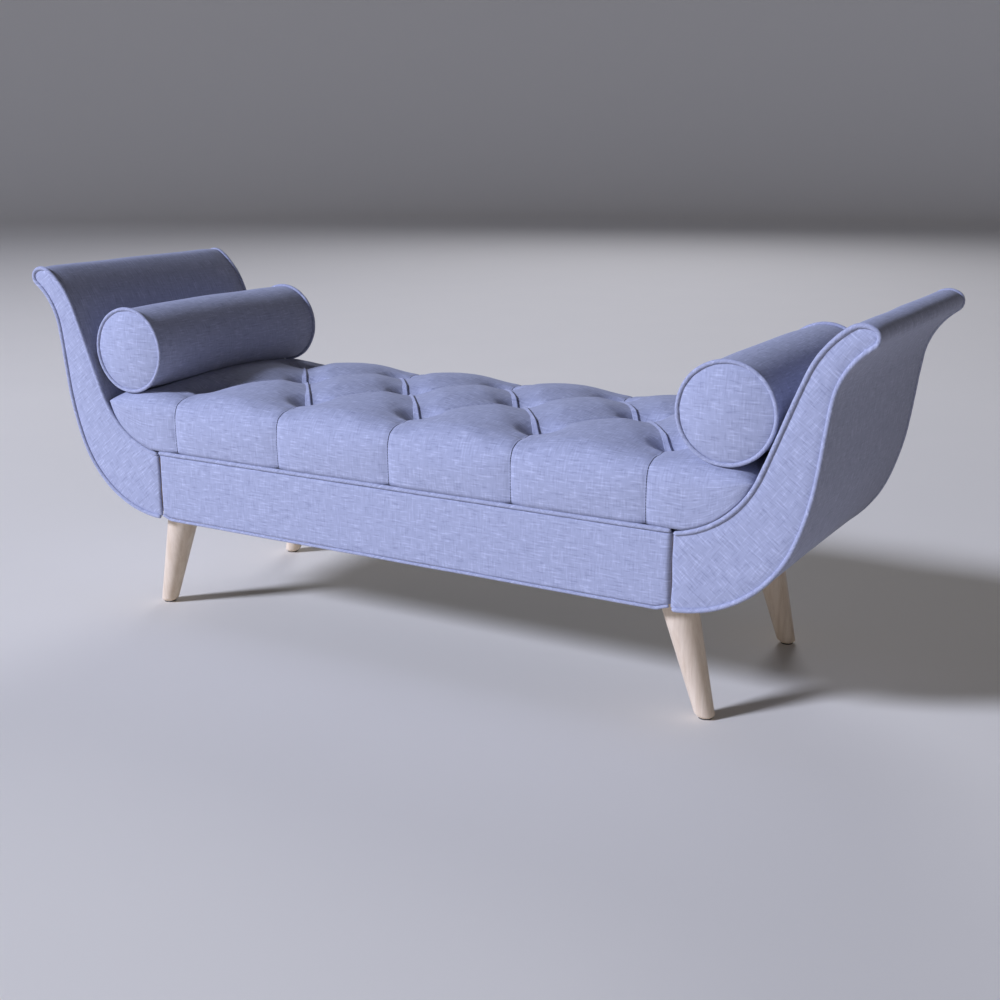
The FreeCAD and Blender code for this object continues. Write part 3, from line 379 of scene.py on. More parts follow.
# %% Read the arm's outline
def flat_outline(name, level):
    """The loop of points round the flat side of a solid at one Y, as X and Z."""
    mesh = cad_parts[name].data
    mesh.calc_loop_triangles()
    keys = [tuple(round(c, 6) for c in v.co) for v in mesh.vertices]
    counts, ends = {}, {}
    for triangle in mesh.loop_triangles:
        ring = [keys[i] for i in triangle.vertices]
        if all(abs(p[1] - level) < 1e-5 for p in ring):
            for a, b in zip(ring, ring[1:] + ring[:1]):
                counts[frozenset((a, b))] = counts.get(frozenset((a, b)), 0) + 1
    for edge in (e for e, n in counts.items() if n == 1 and len(e) == 2):
        a, b = edge
        ends.setdefault(a, []).append(b)
        ends.setdefault(b, []).append(a)
    start = min(ends)
    loop, before = [start], None
    while True:
        step = next(p for p in ends[loop[-1]] if p != before)
        if step == start:
            break
        before = loop[-1]
        loop.append(step)
    return np.array([(p[0], p[2]) for p in loop])


def smooth_curve(points, step):
    """Even points on a curve that runs smoothly through the given ones."""
    along = lengths(points)
    slope = np.gradient(points, along, axis=0)
    wanted = np.linspace(0, along[-1], int(round(along[-1] / step)) + 1)
    spot = np.clip(np.searchsorted(along, wanted, side="right") - 1, 0, len(points) - 2)
    gap = (along[spot + 1] - along[spot])[:, None]
    t = ((wanted - along[spot])[:, None]) / gap
    return ((2 * t**3 - 3 * t**2 + 1) * points[spot] + (t**3 - 2 * t**2 + t) * gap * slope[spot]
            + (-2 * t**3 + 3 * t**2) * points[spot + 1] + (t**3 - t**2) * gap * slope[spot + 1])


def moved_out(curve, distance):
    """The curve moved sideways, to the left of its direction."""
    direction = np.gradient(curve, axis=0)
    direction /= np.linalg.norm(direction, axis=1)[:, None]
    return curve + distance * np.stack([-direction[:, 1], direction[:, 0]], 1)


SAME_LINE, CLOSEST, LINE_STEP = 0.05 * MM, 0.3 * MM, 4 * MM
facing_low, facing_high = (np.array(c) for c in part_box("arm_front_facing_right"))
loop = flat_outline("arm_front_facing_right", facing_low[1])
joint_x = loop[:, 0].min()
on_joint = np.abs(loop[:, 0] - joint_x) < SAME_LINE
top_corner = np.argmax(np.where(on_joint, loop[:, 1], -1))
loop = np.roll(loop, -top_corner, axis=0)
if abs(loop[1, 0] - joint_x) < SAME_LINE:
    loop = np.roll(loop[::-1], 1, axis=0)
keep = np.concatenate([[True], np.linalg.norm(np.diff(loop, axis=0), axis=1) > CLOSEST])
arm_line = smooth_curve(loop[keep], LINE_STEP)
nose_at = int(np.argmax(arm_line[:, 0]))
print(f"arm outline: {lengths(arm_line)[-1]:.3f} m round, nose at {arm_line[nose_at].round(4)}")

# %% [markdown]
# ## Arm covers
# An arm is covered in four cloths: one up the inside and over the scroll, one down the outside and under
# the belly, and a flat facing at each end, with piping in the seam between. The long covers are grids,
# the outline by the depth of the bench. They swell a little between the seams, as wadding does under a
# tight cloth. A bent box would need its edges put right by hand, and a grid takes the outline as it is.

# %% Long covers
PAD_THICKNESS, SEAM_EASE = 8 * MM, 40 * MM
WADDING, WADDING_WAVE = 0.5 * MM, 130 * MM
PUCKER, PUCKER_REACH, PUCKER_WAVE = 0.35 * MM, 9 * MM, 16 * MM
DEPTH_POINTS = 97
seam_y = -facing_high[1]


def mirrored(points, side):
    """The right arm's points as they are, or turned over for the left arm."""
    return points * np.array([side, 1.0, 1.0])


def long_cover(name, line, side, seed, swell):
    """A padded cloth along an outline, from the front seam to the rear one."""
    depth = np.linspace(-seam_y, seam_y, DEPTH_POINTS)
    outward = moved_out(line, 1.0) - line
    s, y = np.meshgrid(lengths(line), depth, indexing="ij")
    from_seam = seam_y - np.abs(y)
    edge = np.minimum(from_seam, SEAM_EASE) / SEAM_EASE
    out = swell * np.sin(edge * math.pi / 2) + WADDING * edge * ripple(s, y, seed, WADDING_WAVE)
    out = out + PUCKER * np.exp(-from_seam / PUCKER_REACH) * ripple(s, y * 0, seed + 1, PUCKER_WAVE)
    outer = np.stack([line[:, None, 0] + outward[:, None, 0] * out, y,
                      line[:, None, 1] + outward[:, None, 1] * out], 2)
    under = moved_out(line, -PAD_THICKNESS)
    inner = np.stack([np.broadcast_to(under[:, None, 0], s.shape), y,
                      np.broadcast_to(under[:, None, 1], s.shape)], 2)
    pad = closed_pad(mirrored(outer, side), mirrored(inner, side), np.stack([s, y], 2), PAD_THICKNESS)
    return sew(name, pad, finishes["linen"])


print(f"the arm's seams lie {seam_y:.3f} m from the middle")

# %% Piping
WELT_RADIUS, CORD_SIDES = 4 * MM, 14
CORD_WOBBLE, WOBBLE_WAVE = 0.05, 22 * MM
BIAS = 0.707  # the strip round the cord is cut at 45 degrees to the threads


def tube(path, radius, sides=CORD_SIDES, wobble=0.0, seed=0, closed=False):
    """A round cord of cloth along a path in space, with its ends rounded over."""
    path = np.asarray(path, float)
    along = lengths(path)
    direction = np.gradient(path, axis=0)
    if closed:
        direction = np.roll(path, -1, axis=0) - np.roll(path, 1, axis=0)
    direction /= np.linalg.norm(direction, axis=1)[:, None]
    up = np.array([0.0, 1.0, 0.0]) if abs(direction[0][1]) < 0.9 else np.array([0.0, 0.0, 1.0])
    first = np.cross(direction, up)
    first /= np.linalg.norm(first, axis=1)[:, None]
    second = np.cross(direction, first)
    turn = np.linspace(0, 2 * math.pi, sides, endpoint=False)
    thick = radius * (1 + wobble * ripple(along, along * 0, seed, WOBBLE_WAVE))
    if not closed:
        near = np.minimum(along, along[-1] - along) / radius
        thick = thick * np.sqrt(np.clip(1 - (1 - np.clip(near, 0, 1)) ** 2, 0, 1))
    rings = path[:, None] + thick[:, None, None] * (np.cos(turn)[None, :, None] * first[:, None]
                                                     + np.sin(turn)[None, :, None] * second[:, None])
    round_cord = np.arange(sides + 1) * 2 * math.pi * radius / sides
    run, around = np.meshgrid(along, round_cord, indexing="ij")
    weave = np.stack([run * BIAS - around * BIAS, run * BIAS + around * BIAS], 2)
    if closed:
        rings = np.concatenate([rings, rings[:1]])
        weave = np.concatenate([weave, weave[-1:] + (weave[-1:] - weave[-2:-1])])
    return patch(rings, weave, wrap=True)


print("piping is", 2 * WELT_RADIUS / MM, "mm thick")

# %% Arm facings
FACING_OUT, FACING_EASE, FACING_TURN_IN = 1.5 * MM, 26 * MM, 7 * MM
FACING_BACK, FACING_SWELL, FACING_WADDING = 3.4 * MM, 2.4 * MM, 0.4 * MM
JOINT_WAVE, JOINT_MOST_IN = 1.4 * MM, 0.8 * MM
FACING_ROWS, FACING_COLUMNS = 150, 25
FACING_CUT = math.radians(38)  # how far the facing's threads are turned from upright


def facing(name, side, front, seed):
    """The flat cloth on the end of an arm: lines across the outline from its inner edge to its outer one."""
    line = moved_out(arm_line, FACING_OUT)
    line[0, 0] = line[-1, 0] = joint_x
    along = lengths(line)
    tip = along[nose_at]
    share = np.linspace(0, 1, FACING_ROWS) ** 0.93
    share[-1] = 0.999
    a_at, b_at = share * tip, along[-1] - share * (along[-1] - tip)
    a = np.stack([np.interp(a_at, along, line[:, i]) for i in (0, 1)], 1)
    b = np.stack([np.interp(b_at, along, line[:, i]) for i in (0, 1)], 1)
    across = (1 - np.cos(np.linspace(0, math.pi, FACING_COLUMNS))) / 2
    flat = a[:, None] + (b - a)[:, None] * across[None, :, None]
    width = np.linalg.norm(b - a, axis=1)
    rim = np.minimum(np.minimum(across, 1 - across)[None] * width[:, None],
                     np.abs(flat[..., 0] - joint_x)) / FACING_EASE
    dome = np.sin(np.clip(rim, 0, 1) * math.pi / 2)
    uneven = FACING_WADDING * ripple(flat[..., 0], flat[..., 1], seed, 0.11)
    level = abs(facing_low[1]) - FACING_BACK + FACING_SWELL * dome + dome * uneven
    joint_wave = JOINT_WAVE * ripple(flat[0, :, 1], flat[0, :, 1] * 0, seed, 0.07)
    flat[0, :, 0] += np.maximum(joint_wave, -JOINT_MOST_IN)
    cos_cut, sin_cut = math.cos(FACING_CUT), math.sin(FACING_CUT)
    weave = np.stack([flat[..., 0] * cos_cut - flat[..., 1] * sin_cut,
                      flat[..., 0] * sin_cut + flat[..., 1] * cos_cut], 2)
    outer = np.stack([flat[..., 0], level * front, flat[..., 1]], 2)
    inner = np.stack([flat[..., 0], np.full(level.shape, seam_y * front), flat[..., 1]], 2)
    pad = closed_pad(mirrored(outer, side), mirrored(inner, side), weave, FACING_TURN_IN)
    return sew(name, pad, finishes["linen"])


print("a facing's threads are turned by", round(math.degrees(FACING_CUT)), "degrees")

# %% Dress both arms
WELT_OUT, COVER_OUT = 4 * MM, 5 * MM
INSIDE_SWELL, OUTSIDE_SWELL = 2.0 * MM, 1.5 * MM
outer_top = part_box("arm_outer_pad_right")[1].z
outer_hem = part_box("arm_outer_pad_right")[0].x
order = np.arange(len(arm_line))
split = int(np.argmax((order > nose_at) & (arm_line[:, 1] < outer_top)))
hem = int(np.argmax((order > split) & (arm_line[:, 0] < outer_hem)))
cover_line = moved_out(arm_line, COVER_OUT)
welt_line = moved_out(arm_line, WELT_OUT)
welt_y = sum(abs(c.y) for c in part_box("arm_front_welt_right")) / 2
for hand, side in (("left", -1.0), ("right", 1.0)):
    inside = long_cover(f"arm_inside_cover_{hand}", cover_line[:split + 1], side, 11, INSIDE_SWELL)
    dress(inside, "bench", "linen", f"arm_inner_pad_{hand}", fill=0.7)
    outside = long_cover(f"arm_outside_cover_{hand}", cover_line[split:hem + 1], side, 17, OUTSIDE_SWELL)
    dress(outside, "bench", "linen", f"arm_outer_pad_{hand}", fill=0.7)
    for end, front in (("front", -1.0), ("rear", 1.0)):
        cloth = facing(f"arm_{end}_facing_cloth_{hand}", side, front, 23)
        dress(cloth, "bench", "linen", f"arm_{end}_facing_{hand}", fill=0.5)
        path = np.stack([welt_line[:, 0] * side, np.full(len(welt_line), front * welt_y),
                         welt_line[:, 1]], 1)
        cord = sew(f"arm_{end}_piping_{hand}", [tube(path, WELT_RADIUS, wobble=CORD_WOBBLE, seed=5)],
                   finishes["linen"])
        dress(cord, "bench", "linen", f"arm_{end}_welt_{hand}", fill=0.9)

# %% [markdown]
# ## Aprons
# The front and rear rails are covered by a padded panel of linen, piped along the top where the seat
# meets it and along the bottom, with ends rolled back into the joint beside each arm. Each panel is a
# grid, the length by the height, drawn back along its edges and ends, with a flat grid behind it. A box
# with rounded edges would be quicker, but it would have no puckers under the piping, and its lower edge
# could not hang below the board as cloth does.

# %% Apron panels
HEM_DROP, HEM_EASE = 6.5 * MM, 26 * MM
APRON_ROLL, APRON_EDGE, APRON_SWELL, APRON_BACK = 8 * MM, 4 * MM, 1.6 * MM, 0.8 * MM
APRON_TURN_IN = 20 * MM
APRON_COLUMNS, APRON_ROWS, END_POINTS, EDGE_POINTS = 260, 22, 9, 6


def hem_sag(x, half):
    """How far the apron's lower edge hangs below its board: nothing at the ends, then level."""
    return HEM_DROP * smooth_step((half - np.abs(x)) / HEM_EASE)


def apron(name, source, front):
    """The padded panel over a rail, measured from the solid it covers."""
    low, high = (np.array(c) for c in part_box(source))
    face, back = max(abs(low[1]), abs(high[1])), min(abs(low[1]), abs(high[1]))
    half = high[0]
    straight = half - APRON_ROLL
    end = straight + APRON_ROLL * np.sin(np.linspace(0, math.pi / 2, END_POINTS))
    x = np.concatenate([-end[::-1], np.linspace(-straight, straight, APRON_COLUMNS)[1:-1], end])
    swing = np.linspace(0, math.pi / 2, EDGE_POINTS)
    corner, rise = APRON_EDGE * (1 - np.cos(swing)), APRON_EDGE * np.sin(swing)
    flat_low, flat_high = low[2] + APRON_EDGE, high[2] - APRON_EDGE
    z = np.concatenate([flat_low - rise[::-1], np.linspace(flat_low, flat_high, APRON_ROWS)[1:-1],
                        flat_high + rise])
    draw = np.concatenate([corner[::-1], np.zeros(APRON_ROWS - 2), corner])
    gx, gz = np.meshgrid(x, z, indexing="ij")
    over = np.clip((np.abs(gx) - straight) / APRON_ROLL, 0, 1)
    in_end = APRON_ROLL * (1 - np.sqrt(1 - over ** 2))
    middle = np.sin(math.pi * (gz - low[2]) / (high[2] - low[2])) * (1 - over)
    uneven = 0.5 * MM * middle * ripple(gx, gz, 31, 0.16)
    pucker = 0.3 * MM * np.exp(-(high[2] - gz) / (10 * MM)) * ripple(gx, gx * 0, 33, 0.018) * (1 - over)
    y = face - APRON_BACK - np.maximum(draw[None], in_end) + APRON_SWELL * middle + uneven + pucker
    gz = gz - hem_sag(gx, half) * (high[2] - gz) / (high[2] - low[2])
    outer = np.stack([gx, front * y, gz], 2)
    inner = np.stack([gx, np.full(gx.shape, front * back), gz], 2)
    return sew(name, closed_pad(outer, inner, np.stack([gx, gz], 2), APRON_TURN_IN), finishes["linen"])


print("an apron's lower edge hangs", HEM_DROP / MM, "mm below its board")

# %% Apron piping
CORD_POINTS = 420


def straight_piping(name, source, radius, sags):
    """Piping along the bench, in the middle of the solid it stands for, and a little uneven."""
    low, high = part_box(source)
    x = np.linspace(-high.x, high.x, CORD_POINTS)
    y = (low.y + high.y) / 2 + 0.25 * MM * ripple(x, x * 0, 41, 0.11)
    z = (low.z + high.z) / 2 + 0.35 * MM * ripple(x, x * 0, 43, 0.15) - sags * hem_sag(x, high.x)
    cord = tube(np.stack([x, y, z], 1), radius, wobble=CORD_WOBBLE, seed=7)
    dress(sew(name, [cord], finishes["linen"]), "bench", "linen", source, fill=0.9)


for end, front in (("front", -1.0), ("rear", 1.0)):
    dress(apron(f"{end}_apron_cover", f"{end}_apron", front), "bench", "linen", f"{end}_apron", fill=0.6)
    hem_low, hem_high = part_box(f"{end}_apron_hem")
    straight_piping(f"{end}_apron_piping", f"{end}_apron_welt", WELT_RADIUS, sags=False)
    straight_piping(f"{end}_hem_piping", f"{end}_apron_hem", (hem_high.z - hem_low.z) / 2, sags=True)

# %% [markdown]
# ## Bolsters
# A bolster is a filled sleeve with a round end sewn in at each side and piping in the seam. The filling
# makes the sleeve slightly uneven and the ends domed, and the seam draws small puckers into both. A plain
# cylinder would look turned from wood, so each ring of points has a radius that may vary.

# %% Bolster covers
SEAM_DRAW, SLEEVE_SWELL, END_DOME = 3.2 * MM, 3 * MM, 13 * MM
SLEEVE_TURNS, SLEEVE_ROWS, END_RINGS = 144, 90, 26
FIRST_SEED = {"left": 51, "right": 57}


def bolster_sizes(hand):
    """The middle, radius and half length of a bolster's sleeve."""
    low, high = (np.array(c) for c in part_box(f"bolster_{hand}_sleeve"))
    return (low + high) / 2, (high[0] - low[0]) / 2, (high[1] - low[1]) / 2


def bolster(hand):
    """A bolster's cover: the sleeve, and a domed round end at each side."""
    middle, radius, half = bolster_sizes(hand)
    seed = FIRST_SEED[hand]
    turn = np.linspace(0, 2 * math.pi, SLEEVE_TURNS, endpoint=False)
    y = half * np.sin(np.linspace(-1, 1, SLEEVE_ROWS) * math.pi / 2)
    gy, gt = np.meshgrid(y, turn, indexing="ij")
    inset = 1 - np.abs(gy) / half
    body = radius - SEAM_DRAW + SLEEVE_SWELL * (1 - (gy / half) ** 2)
    body = body + 0.8 * MM * ripple(gy, radius * np.sin(gt), seed, 0.16) * smooth_step(inset * 6)
    body = body + 0.5 * MM * np.exp(-inset * half / (9 * MM)) * ripple(radius * gt, gt * 0, seed + 1, 0.021)
    sleeve = np.stack([middle[0] + body * np.cos(gt), gy, middle[2] + body * np.sin(gt)], 2)
    around = np.arange(SLEEVE_TURNS + 1) / SLEEVE_TURNS * 2 * math.pi * radius
    patches = [patch(sleeve, np.stack(np.meshgrid(y, around, indexing="ij"), 2), wrap=True)]
    for row, front in ((0, -1.0), (-1, 1.0)):
        r, t = np.meshgrid(np.linspace(1, 0, END_RINGS), turn, indexing="ij")
        rim = body[row][None] * r
        uneven = 0.45 * MM * ripple(rim * np.cos(t), rim * np.sin(t), seed + 2, 0.07)
        pucker = 0.5 * MM * np.exp(-(1 - r) * radius / (8 * MM)) * ripple(radius * t, t * 0, seed + 3, 0.02)
        rise = END_DOME * np.clip(1 - r ** 2, 0, 1) ** 0.8
        rise = rise + uneven * smooth_step((1 - r) * 4) + pucker * smooth_step((1 - r) * 20)
        disc = np.stack([middle[0] + rim * np.cos(t), front * (half + rise), middle[2] + rim * np.sin(t)], 2)
        closed = np.concatenate([t, t[:, :1] + 2 * math.pi], 1)
        wide = np.concatenate([rim, rim[:, :1]], 1)
        laid = np.stack([wide * np.cos(closed), wide * np.sin(closed)], 2)
        patches.append(patch(disc, laid, wrap=True))
    return sew(f"bolster_{hand}_cover", patches, finishes["linen"])


print("a bolster is", round(2 * bolster_sizes("left")[1] / MM), "mm across")

# %% Bolster piping
RING_RADIUS, RING_IN, RING_OUT = 3.5 * MM, 2.2 * MM, 1.5 * MM
RING_POINTS = 180
for hand in ("left", "right"):
    dress(bolster(hand), f"bolster_{hand}", "linen", f"bolster_{hand}_core", f"bolster_{hand}_sleeve",
          f"bolster_{hand}_front_end", f"bolster_{hand}_rear_end", fill=0.85)
    middle, radius, half = bolster_sizes(hand)
    turn = np.linspace(0, 2 * math.pi, RING_POINTS, endpoint=False)
    reach = radius - RING_IN + 0.3 * MM * ripple(radius * np.cos(turn), radius * np.sin(turn), 61, 0.05)
    rings = []
    for front in (-1.0, 1.0):
        path = np.stack([middle[0] + reach * np.cos(turn), np.full(RING_POINTS, front * (half + RING_OUT)),
                         middle[2] + reach * np.sin(turn)], 1)
        rings.append(tube(path, RING_RADIUS, wobble=CORD_WOBBLE, seed=9, closed=True))
    dress(sew(f"bolster_{hand}_piping", rings, finishes["linen"]), f"bolster_{hand}", "linen",
          f"bolster_{hand}_welts", fill=0.9)

# %% [markdown]
# ## The tufted seat
# The seat is one cloth over a thick pad. Twine pulls it down at fourteen tufts in three staggered rows.
# Between neighbouring tufts the spare cloth folds into pleats, and from each outer tuft a seam runs over
# the edge and down the face. The cloth is drawn flat first, as a map of X along the bench and S over its
# rounded top from the front foot to the rear one. Each line on that map has a depth, and cloth near a
# line sinks towards it. Sculpting by hand could give the same swells, but not the even pitch of the tufts.

# %% The seat's plain form
seat_low, seat_high = (np.array(c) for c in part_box("seat_cushion"))
SEAT_HALF, SEAT_FRONT = seat_high[0], seat_high[1]
SEAT_FOOT, SEAT_CROWN = seat_low[2], seat_high[2]
ROLL, CROWN_RADIUS, SIDE_DRAW = 50 * MM, 1.6, 3 * MM
FALL_START, FALL_RADIUS, CORNER_X = 0.500, 0.456, 0.622
CORNER_DRAW, CORNER_FALL, CORNER_LIFT = 0.05, 26 * MM, 6 * MM
# The round hollow of the arms that the seat's ends lie in: its centre and its radius.
HOLLOW_X, HOLLOW_Z, HOLLOW_RADIUS = 0.5149, 0.4959, 0.1719
PITCH, ROW = 0.246, 0.150

roll_y = SEAT_FRONT - ROLL
roll_z = SEAT_CROWN - roll_y ** 2 / (2 * CROWN_RADIUS) - ROLL
lean = math.asin(roll_y / CROWN_RADIUS)
t = np.linspace(0, 1, 40)
face_part = np.stack([SEAT_FRONT - SIDE_DRAW * (1 - t) ** 2, SEAT_FOOT + (roll_z - SEAT_FOOT) * t], 1)
swing = np.linspace(0, math.pi / 2 - lean, 40)
roll_part = np.stack([roll_y + ROLL * np.cos(swing), roll_z + ROLL * np.sin(swing)], 1)
top_y = np.linspace(roll_part[-1, 0], 0, 120)
top_part = np.stack([top_y, SEAT_CROWN - top_y ** 2 / (2 * CROWN_RADIUS)], 1)
half_path = np.concatenate([face_part, roll_part[1:], top_part[1:]])
section = np.concatenate([half_path * [-1, 1], half_path[-2::-1]])
section_s = lengths(section)
section_s -= section_s[-1] / 2
S_END = section_s[-1]
section_tilt = np.gradient(section, section_s, axis=0)
section_tilt /= np.linalg.norm(section_tilt, axis=1)[:, None]
print(f"the seat's cloth is {2 * S_END:.3f} m from foot to foot")

# %% The seat's ends
def end_share(x):
    """How far along its rounded end a place on the seat is: 0 where the round starts, 1 at the arm."""
    return np.clip((np.abs(x) - CORNER_X) / (SEAT_HALF - CORNER_X), 0, 1)


def top_level(x):
    """Height of the seat's crest along the bench: level, then falling towards the bolsters."""
    x = np.abs(x)
    fall = FALL_RADIUS - np.sqrt(FALL_RADIUS ** 2 - np.clip(x - FALL_START, 0, None) ** 2)
    corner = end_share(x)
    return SEAT_CROWN - fall - CORNER_FALL * (1 - np.sqrt(1 - corner ** 2)) + CORNER_LIFT * corner ** 2


def foot_level(x):
    """Height of the seat's underside: the felt, then the hollow of the arm."""
    x = np.clip(np.abs(x), HOLLOW_X, None)
    under = HOLLOW_Z - np.sqrt(np.clip(HOLLOW_RADIUS ** 2 - (x - HOLLOW_X) ** 2, 0, None))
    return np.maximum(under, SEAT_FOOT)


print(f"the crest falls from {SEAT_CROWN:.3f} to {top_level(SEAT_HALF):.3f} m at the arms")

# %% The seat's tufts, pleats and seams
tufts = [(i * PITCH, side * ROW) for side in (-1, 1) for i in range(-2, 3)]
tufts += [((i + 0.5) * PITCH, 0.0) for i in range(-2, 2)]
pleats = [(a, b) for a in tufts[10:] for b in tufts[:10] if abs(abs(a[0] - b[0]) - PITCH / 2) < 1e-6]
TUFT_DEPTH, OUTER_EASE, TUFT_REACH = 25 * MM, 6 * MM, 88 * MM
FUNNEL_DEPTH, FUNNEL_REACH = 17 * MM, 50 * MM
SADDLE_DEPTH, SADDLE_REACH = 13 * MM, 62 * MM
FLAT_AT_SADDLE, FLAT_AT_TUFT = 2 * MM, 9 * MM
SEAM_DEPTH = ([0, 20, 41, 57, 80, 97, 110, 140, 230], [16, 13, 13.5, 15.5, 12, 8, 4, 3, 1.5])
SEAM_WIDTH = ([0, 40, 80, 100, 120, 140, 230], [85, 108, 115, 85, 60, 48, 30])
CREASE, CREASE_REACH, CREASE_RUN = 3 * MM, 5 * MM, 30 * MM
PLEAT_CUSP, SEAM_CUSP, FUNNEL_CUSP = 0.35, 0.1, 0.2
BLEND = 6  # where lines meet, the deepest wins: their depths are summed as sixth powers
print(len(tufts), "tufts,", len(pleats), "pleats")


def sunk(away, width, cusp):
    """How much of a line's depth is left at a distance from it: a smooth hollow and a share of crease."""
    q = np.clip(away / width, 0, 1)
    return (1 - cusp) * np.cos(q * math.pi / 2) ** 2 + cusp * (1 - q) ** 2


def seat_depth(x, s):
    """How far the cloth is pulled in below its fullest form, at a place on the map."""
    total = np.zeros(np.broadcast(x, s).shape)
    crease = np.zeros(total.shape)
    for (ax, a_s), (bx, b_s) in pleats:
        dx, ds = bx - ax, b_s - a_s
        length = math.hypot(dx, ds)
        t = np.clip(((x - ax) * dx + (s - a_s) * ds) / length ** 2, 0, 1)
        away = np.hypot(x - ax - t * dx, s - a_s - t * ds)
        end = np.abs(2 * t - 1)
        deep = SADDLE_DEPTH + (TUFT_DEPTH - OUTER_EASE * t - SADDLE_DEPTH) * end ** 1.6
        wide = SADDLE_REACH + (TUFT_REACH - SADDLE_REACH) * end ** 1.5
        flat = FLAT_AT_SADDLE + (FLAT_AT_TUFT - FLAT_AT_SADDLE) * end ** 2
        total += (deep * sunk(np.clip(away - flat, 0, None), wide - flat, PLEAT_CUSP)) ** BLEND
    for tx, ts in tufts[:10]:
        side = math.copysign(1, ts)
        run = np.clip((s - ts) * side, 0, None)
        away = np.hypot(x - tx, np.minimum((s - ts) * side, 0))
        deep = np.interp(run / MM, *SEAM_DEPTH) * MM
        wide = np.interp(run / MM, *SEAM_WIDTH) * MM
        total += (deep * sunk(away, wide, SEAM_CUSP)) ** BLEND
        crease = np.maximum(crease, CREASE * np.exp(-away / CREASE_REACH) * smooth_step(run / CREASE_RUN))
    for tx, ts in tufts:
        away = np.clip(np.hypot(x - tx, s - ts) - FLAT_AT_TUFT, 0, None)
        crease = crease + FUNNEL_DEPTH * sunk(away, FUNNEL_REACH - FLAT_AT_TUFT, FUNNEL_CUSP)
    return total ** (1 / BLEND) + crease


print(f"at a tuft the cloth sinks {float(seat_depth(*map(np.array, tufts[10]))) / MM:.1f} mm")

# %% From the flat map to the seat
PRESS_GAP, PRESS_PAST = 0.6 * MM, 8 * MM


def seat_point(x, s):
    """The place in space of a point on the seat's map."""
    y = np.interp(s, section_s, section[:, 0])
    z = np.interp(s, section_s, section[:, 1])
    ty = np.interp(s, section_s, section_tilt[:, 0])
    tz = np.interp(s, section_s, section_tilt[:, 1])
    low, high = foot_level(x), top_level(x)
    tall = (high - low) / (SEAT_CROWN - SEAT_FOOT)
    deep = seat_depth(x, s) * np.clip(tall, 0, 1)
    z = low + (z - SEAT_FOOT) * tall - deep * ty
    y = (y + deep * tz) * (1 - CORNER_DRAW * (1 - np.sqrt(1 - end_share(x) ** 2)))
    return np.stack([np.broadcast_to(x, y.shape), y, np.maximum(z, low)], -1)


def under_bolster(points):
    """Cloth under a bolster is pressed down to its round."""
    for hand in ("left", "right"):
        middle, radius, half = bolster_sizes(hand)
        radius = radius + PRESS_GAP
        away = points[..., 0] - middle[0]
        inside = (np.abs(away) < radius) & (np.abs(points[..., 1]) < half + PRESS_PAST)
        lift = middle[2] - np.sqrt(np.clip(radius ** 2 - away ** 2, 0, None))
        points[..., 2] = np.where(inside, np.minimum(points[..., 2], lift), points[..., 2])
    return points


print("the seat's middle lies at", seat_point(np.array(0.0), np.array(0.0)).round(3))

# %% [markdown]
# The map is ruled so that every pleat runs from corner to corner of the grid's cells. Each cell is then
# split along the pleat, and the crease comes out as one clean line instead of a staircase.

# %% Rule the seat's cloth
STEPS = 30
step_x, step_s = PITCH / 2 / STEPS, ROW / STEPS
half_columns = np.append(np.arange(0, SEAT_HALF - 2 * MM, step_x), SEAT_HALF)
columns = np.concatenate([-half_columns[:0:-1], half_columns])
half_rows = np.append(np.arange(0, S_END - 2 * MM, step_s), S_END)
across = np.concatenate([-half_rows[:0:-1], half_rows])
gx, gs = np.meshgrid(columns, across, indexing="ij")
cloth = seat_point(gx, gs)
weave = np.stack([gx, gs], 2)
print("seat grid", cloth.shape[:2])

# %% [markdown]
# The drawn form is too even to be cloth. A copy of every third line of the grid, drawn a little slack, is
# pinned along its pleats, seams, foot and ends, and Blender's cloth blows it up from within for twenty
# frames. How far each point moved, within a cap, is then added to the fine grid. A coarse trial keeps
# this to some seconds, and the sharp creases stay as they were drawn.

# %% Let the seat's cloth settle
SLACK, CAP = 1.5 * MM, 7 * MM
PRESSURE, CLOTH_FRAMES, EVERY = 6.0, 20, 3
FREE_FROM_LINES, FREE_FROM_FOOT, HELD_SHARE = 45 * MM, 30 * MM, 0.03
FREE_UNTIL_X, FREE_FADE = 0.54, 0.04


def line_distance(x, s):
    """Distance on the map to the nearest pleat or seam."""
    nearest = np.full(np.broadcast(x, s).shape, 1.0)
    runs = pleats + [((tx, ts), (tx, math.copysign(S_END, ts))) for tx, ts in tufts[:10]]
    for (ax, a_s), (bx, b_s) in runs:
        dx, ds = bx - ax, b_s - a_s
        t = np.clip(((x - ax) * dx + (s - a_s) * ds) / (dx ** 2 + ds ** 2), 0, 1)
        nearest = np.minimum(nearest, np.hypot(x - ax - t * dx, s - a_s - t * ds))
    return nearest


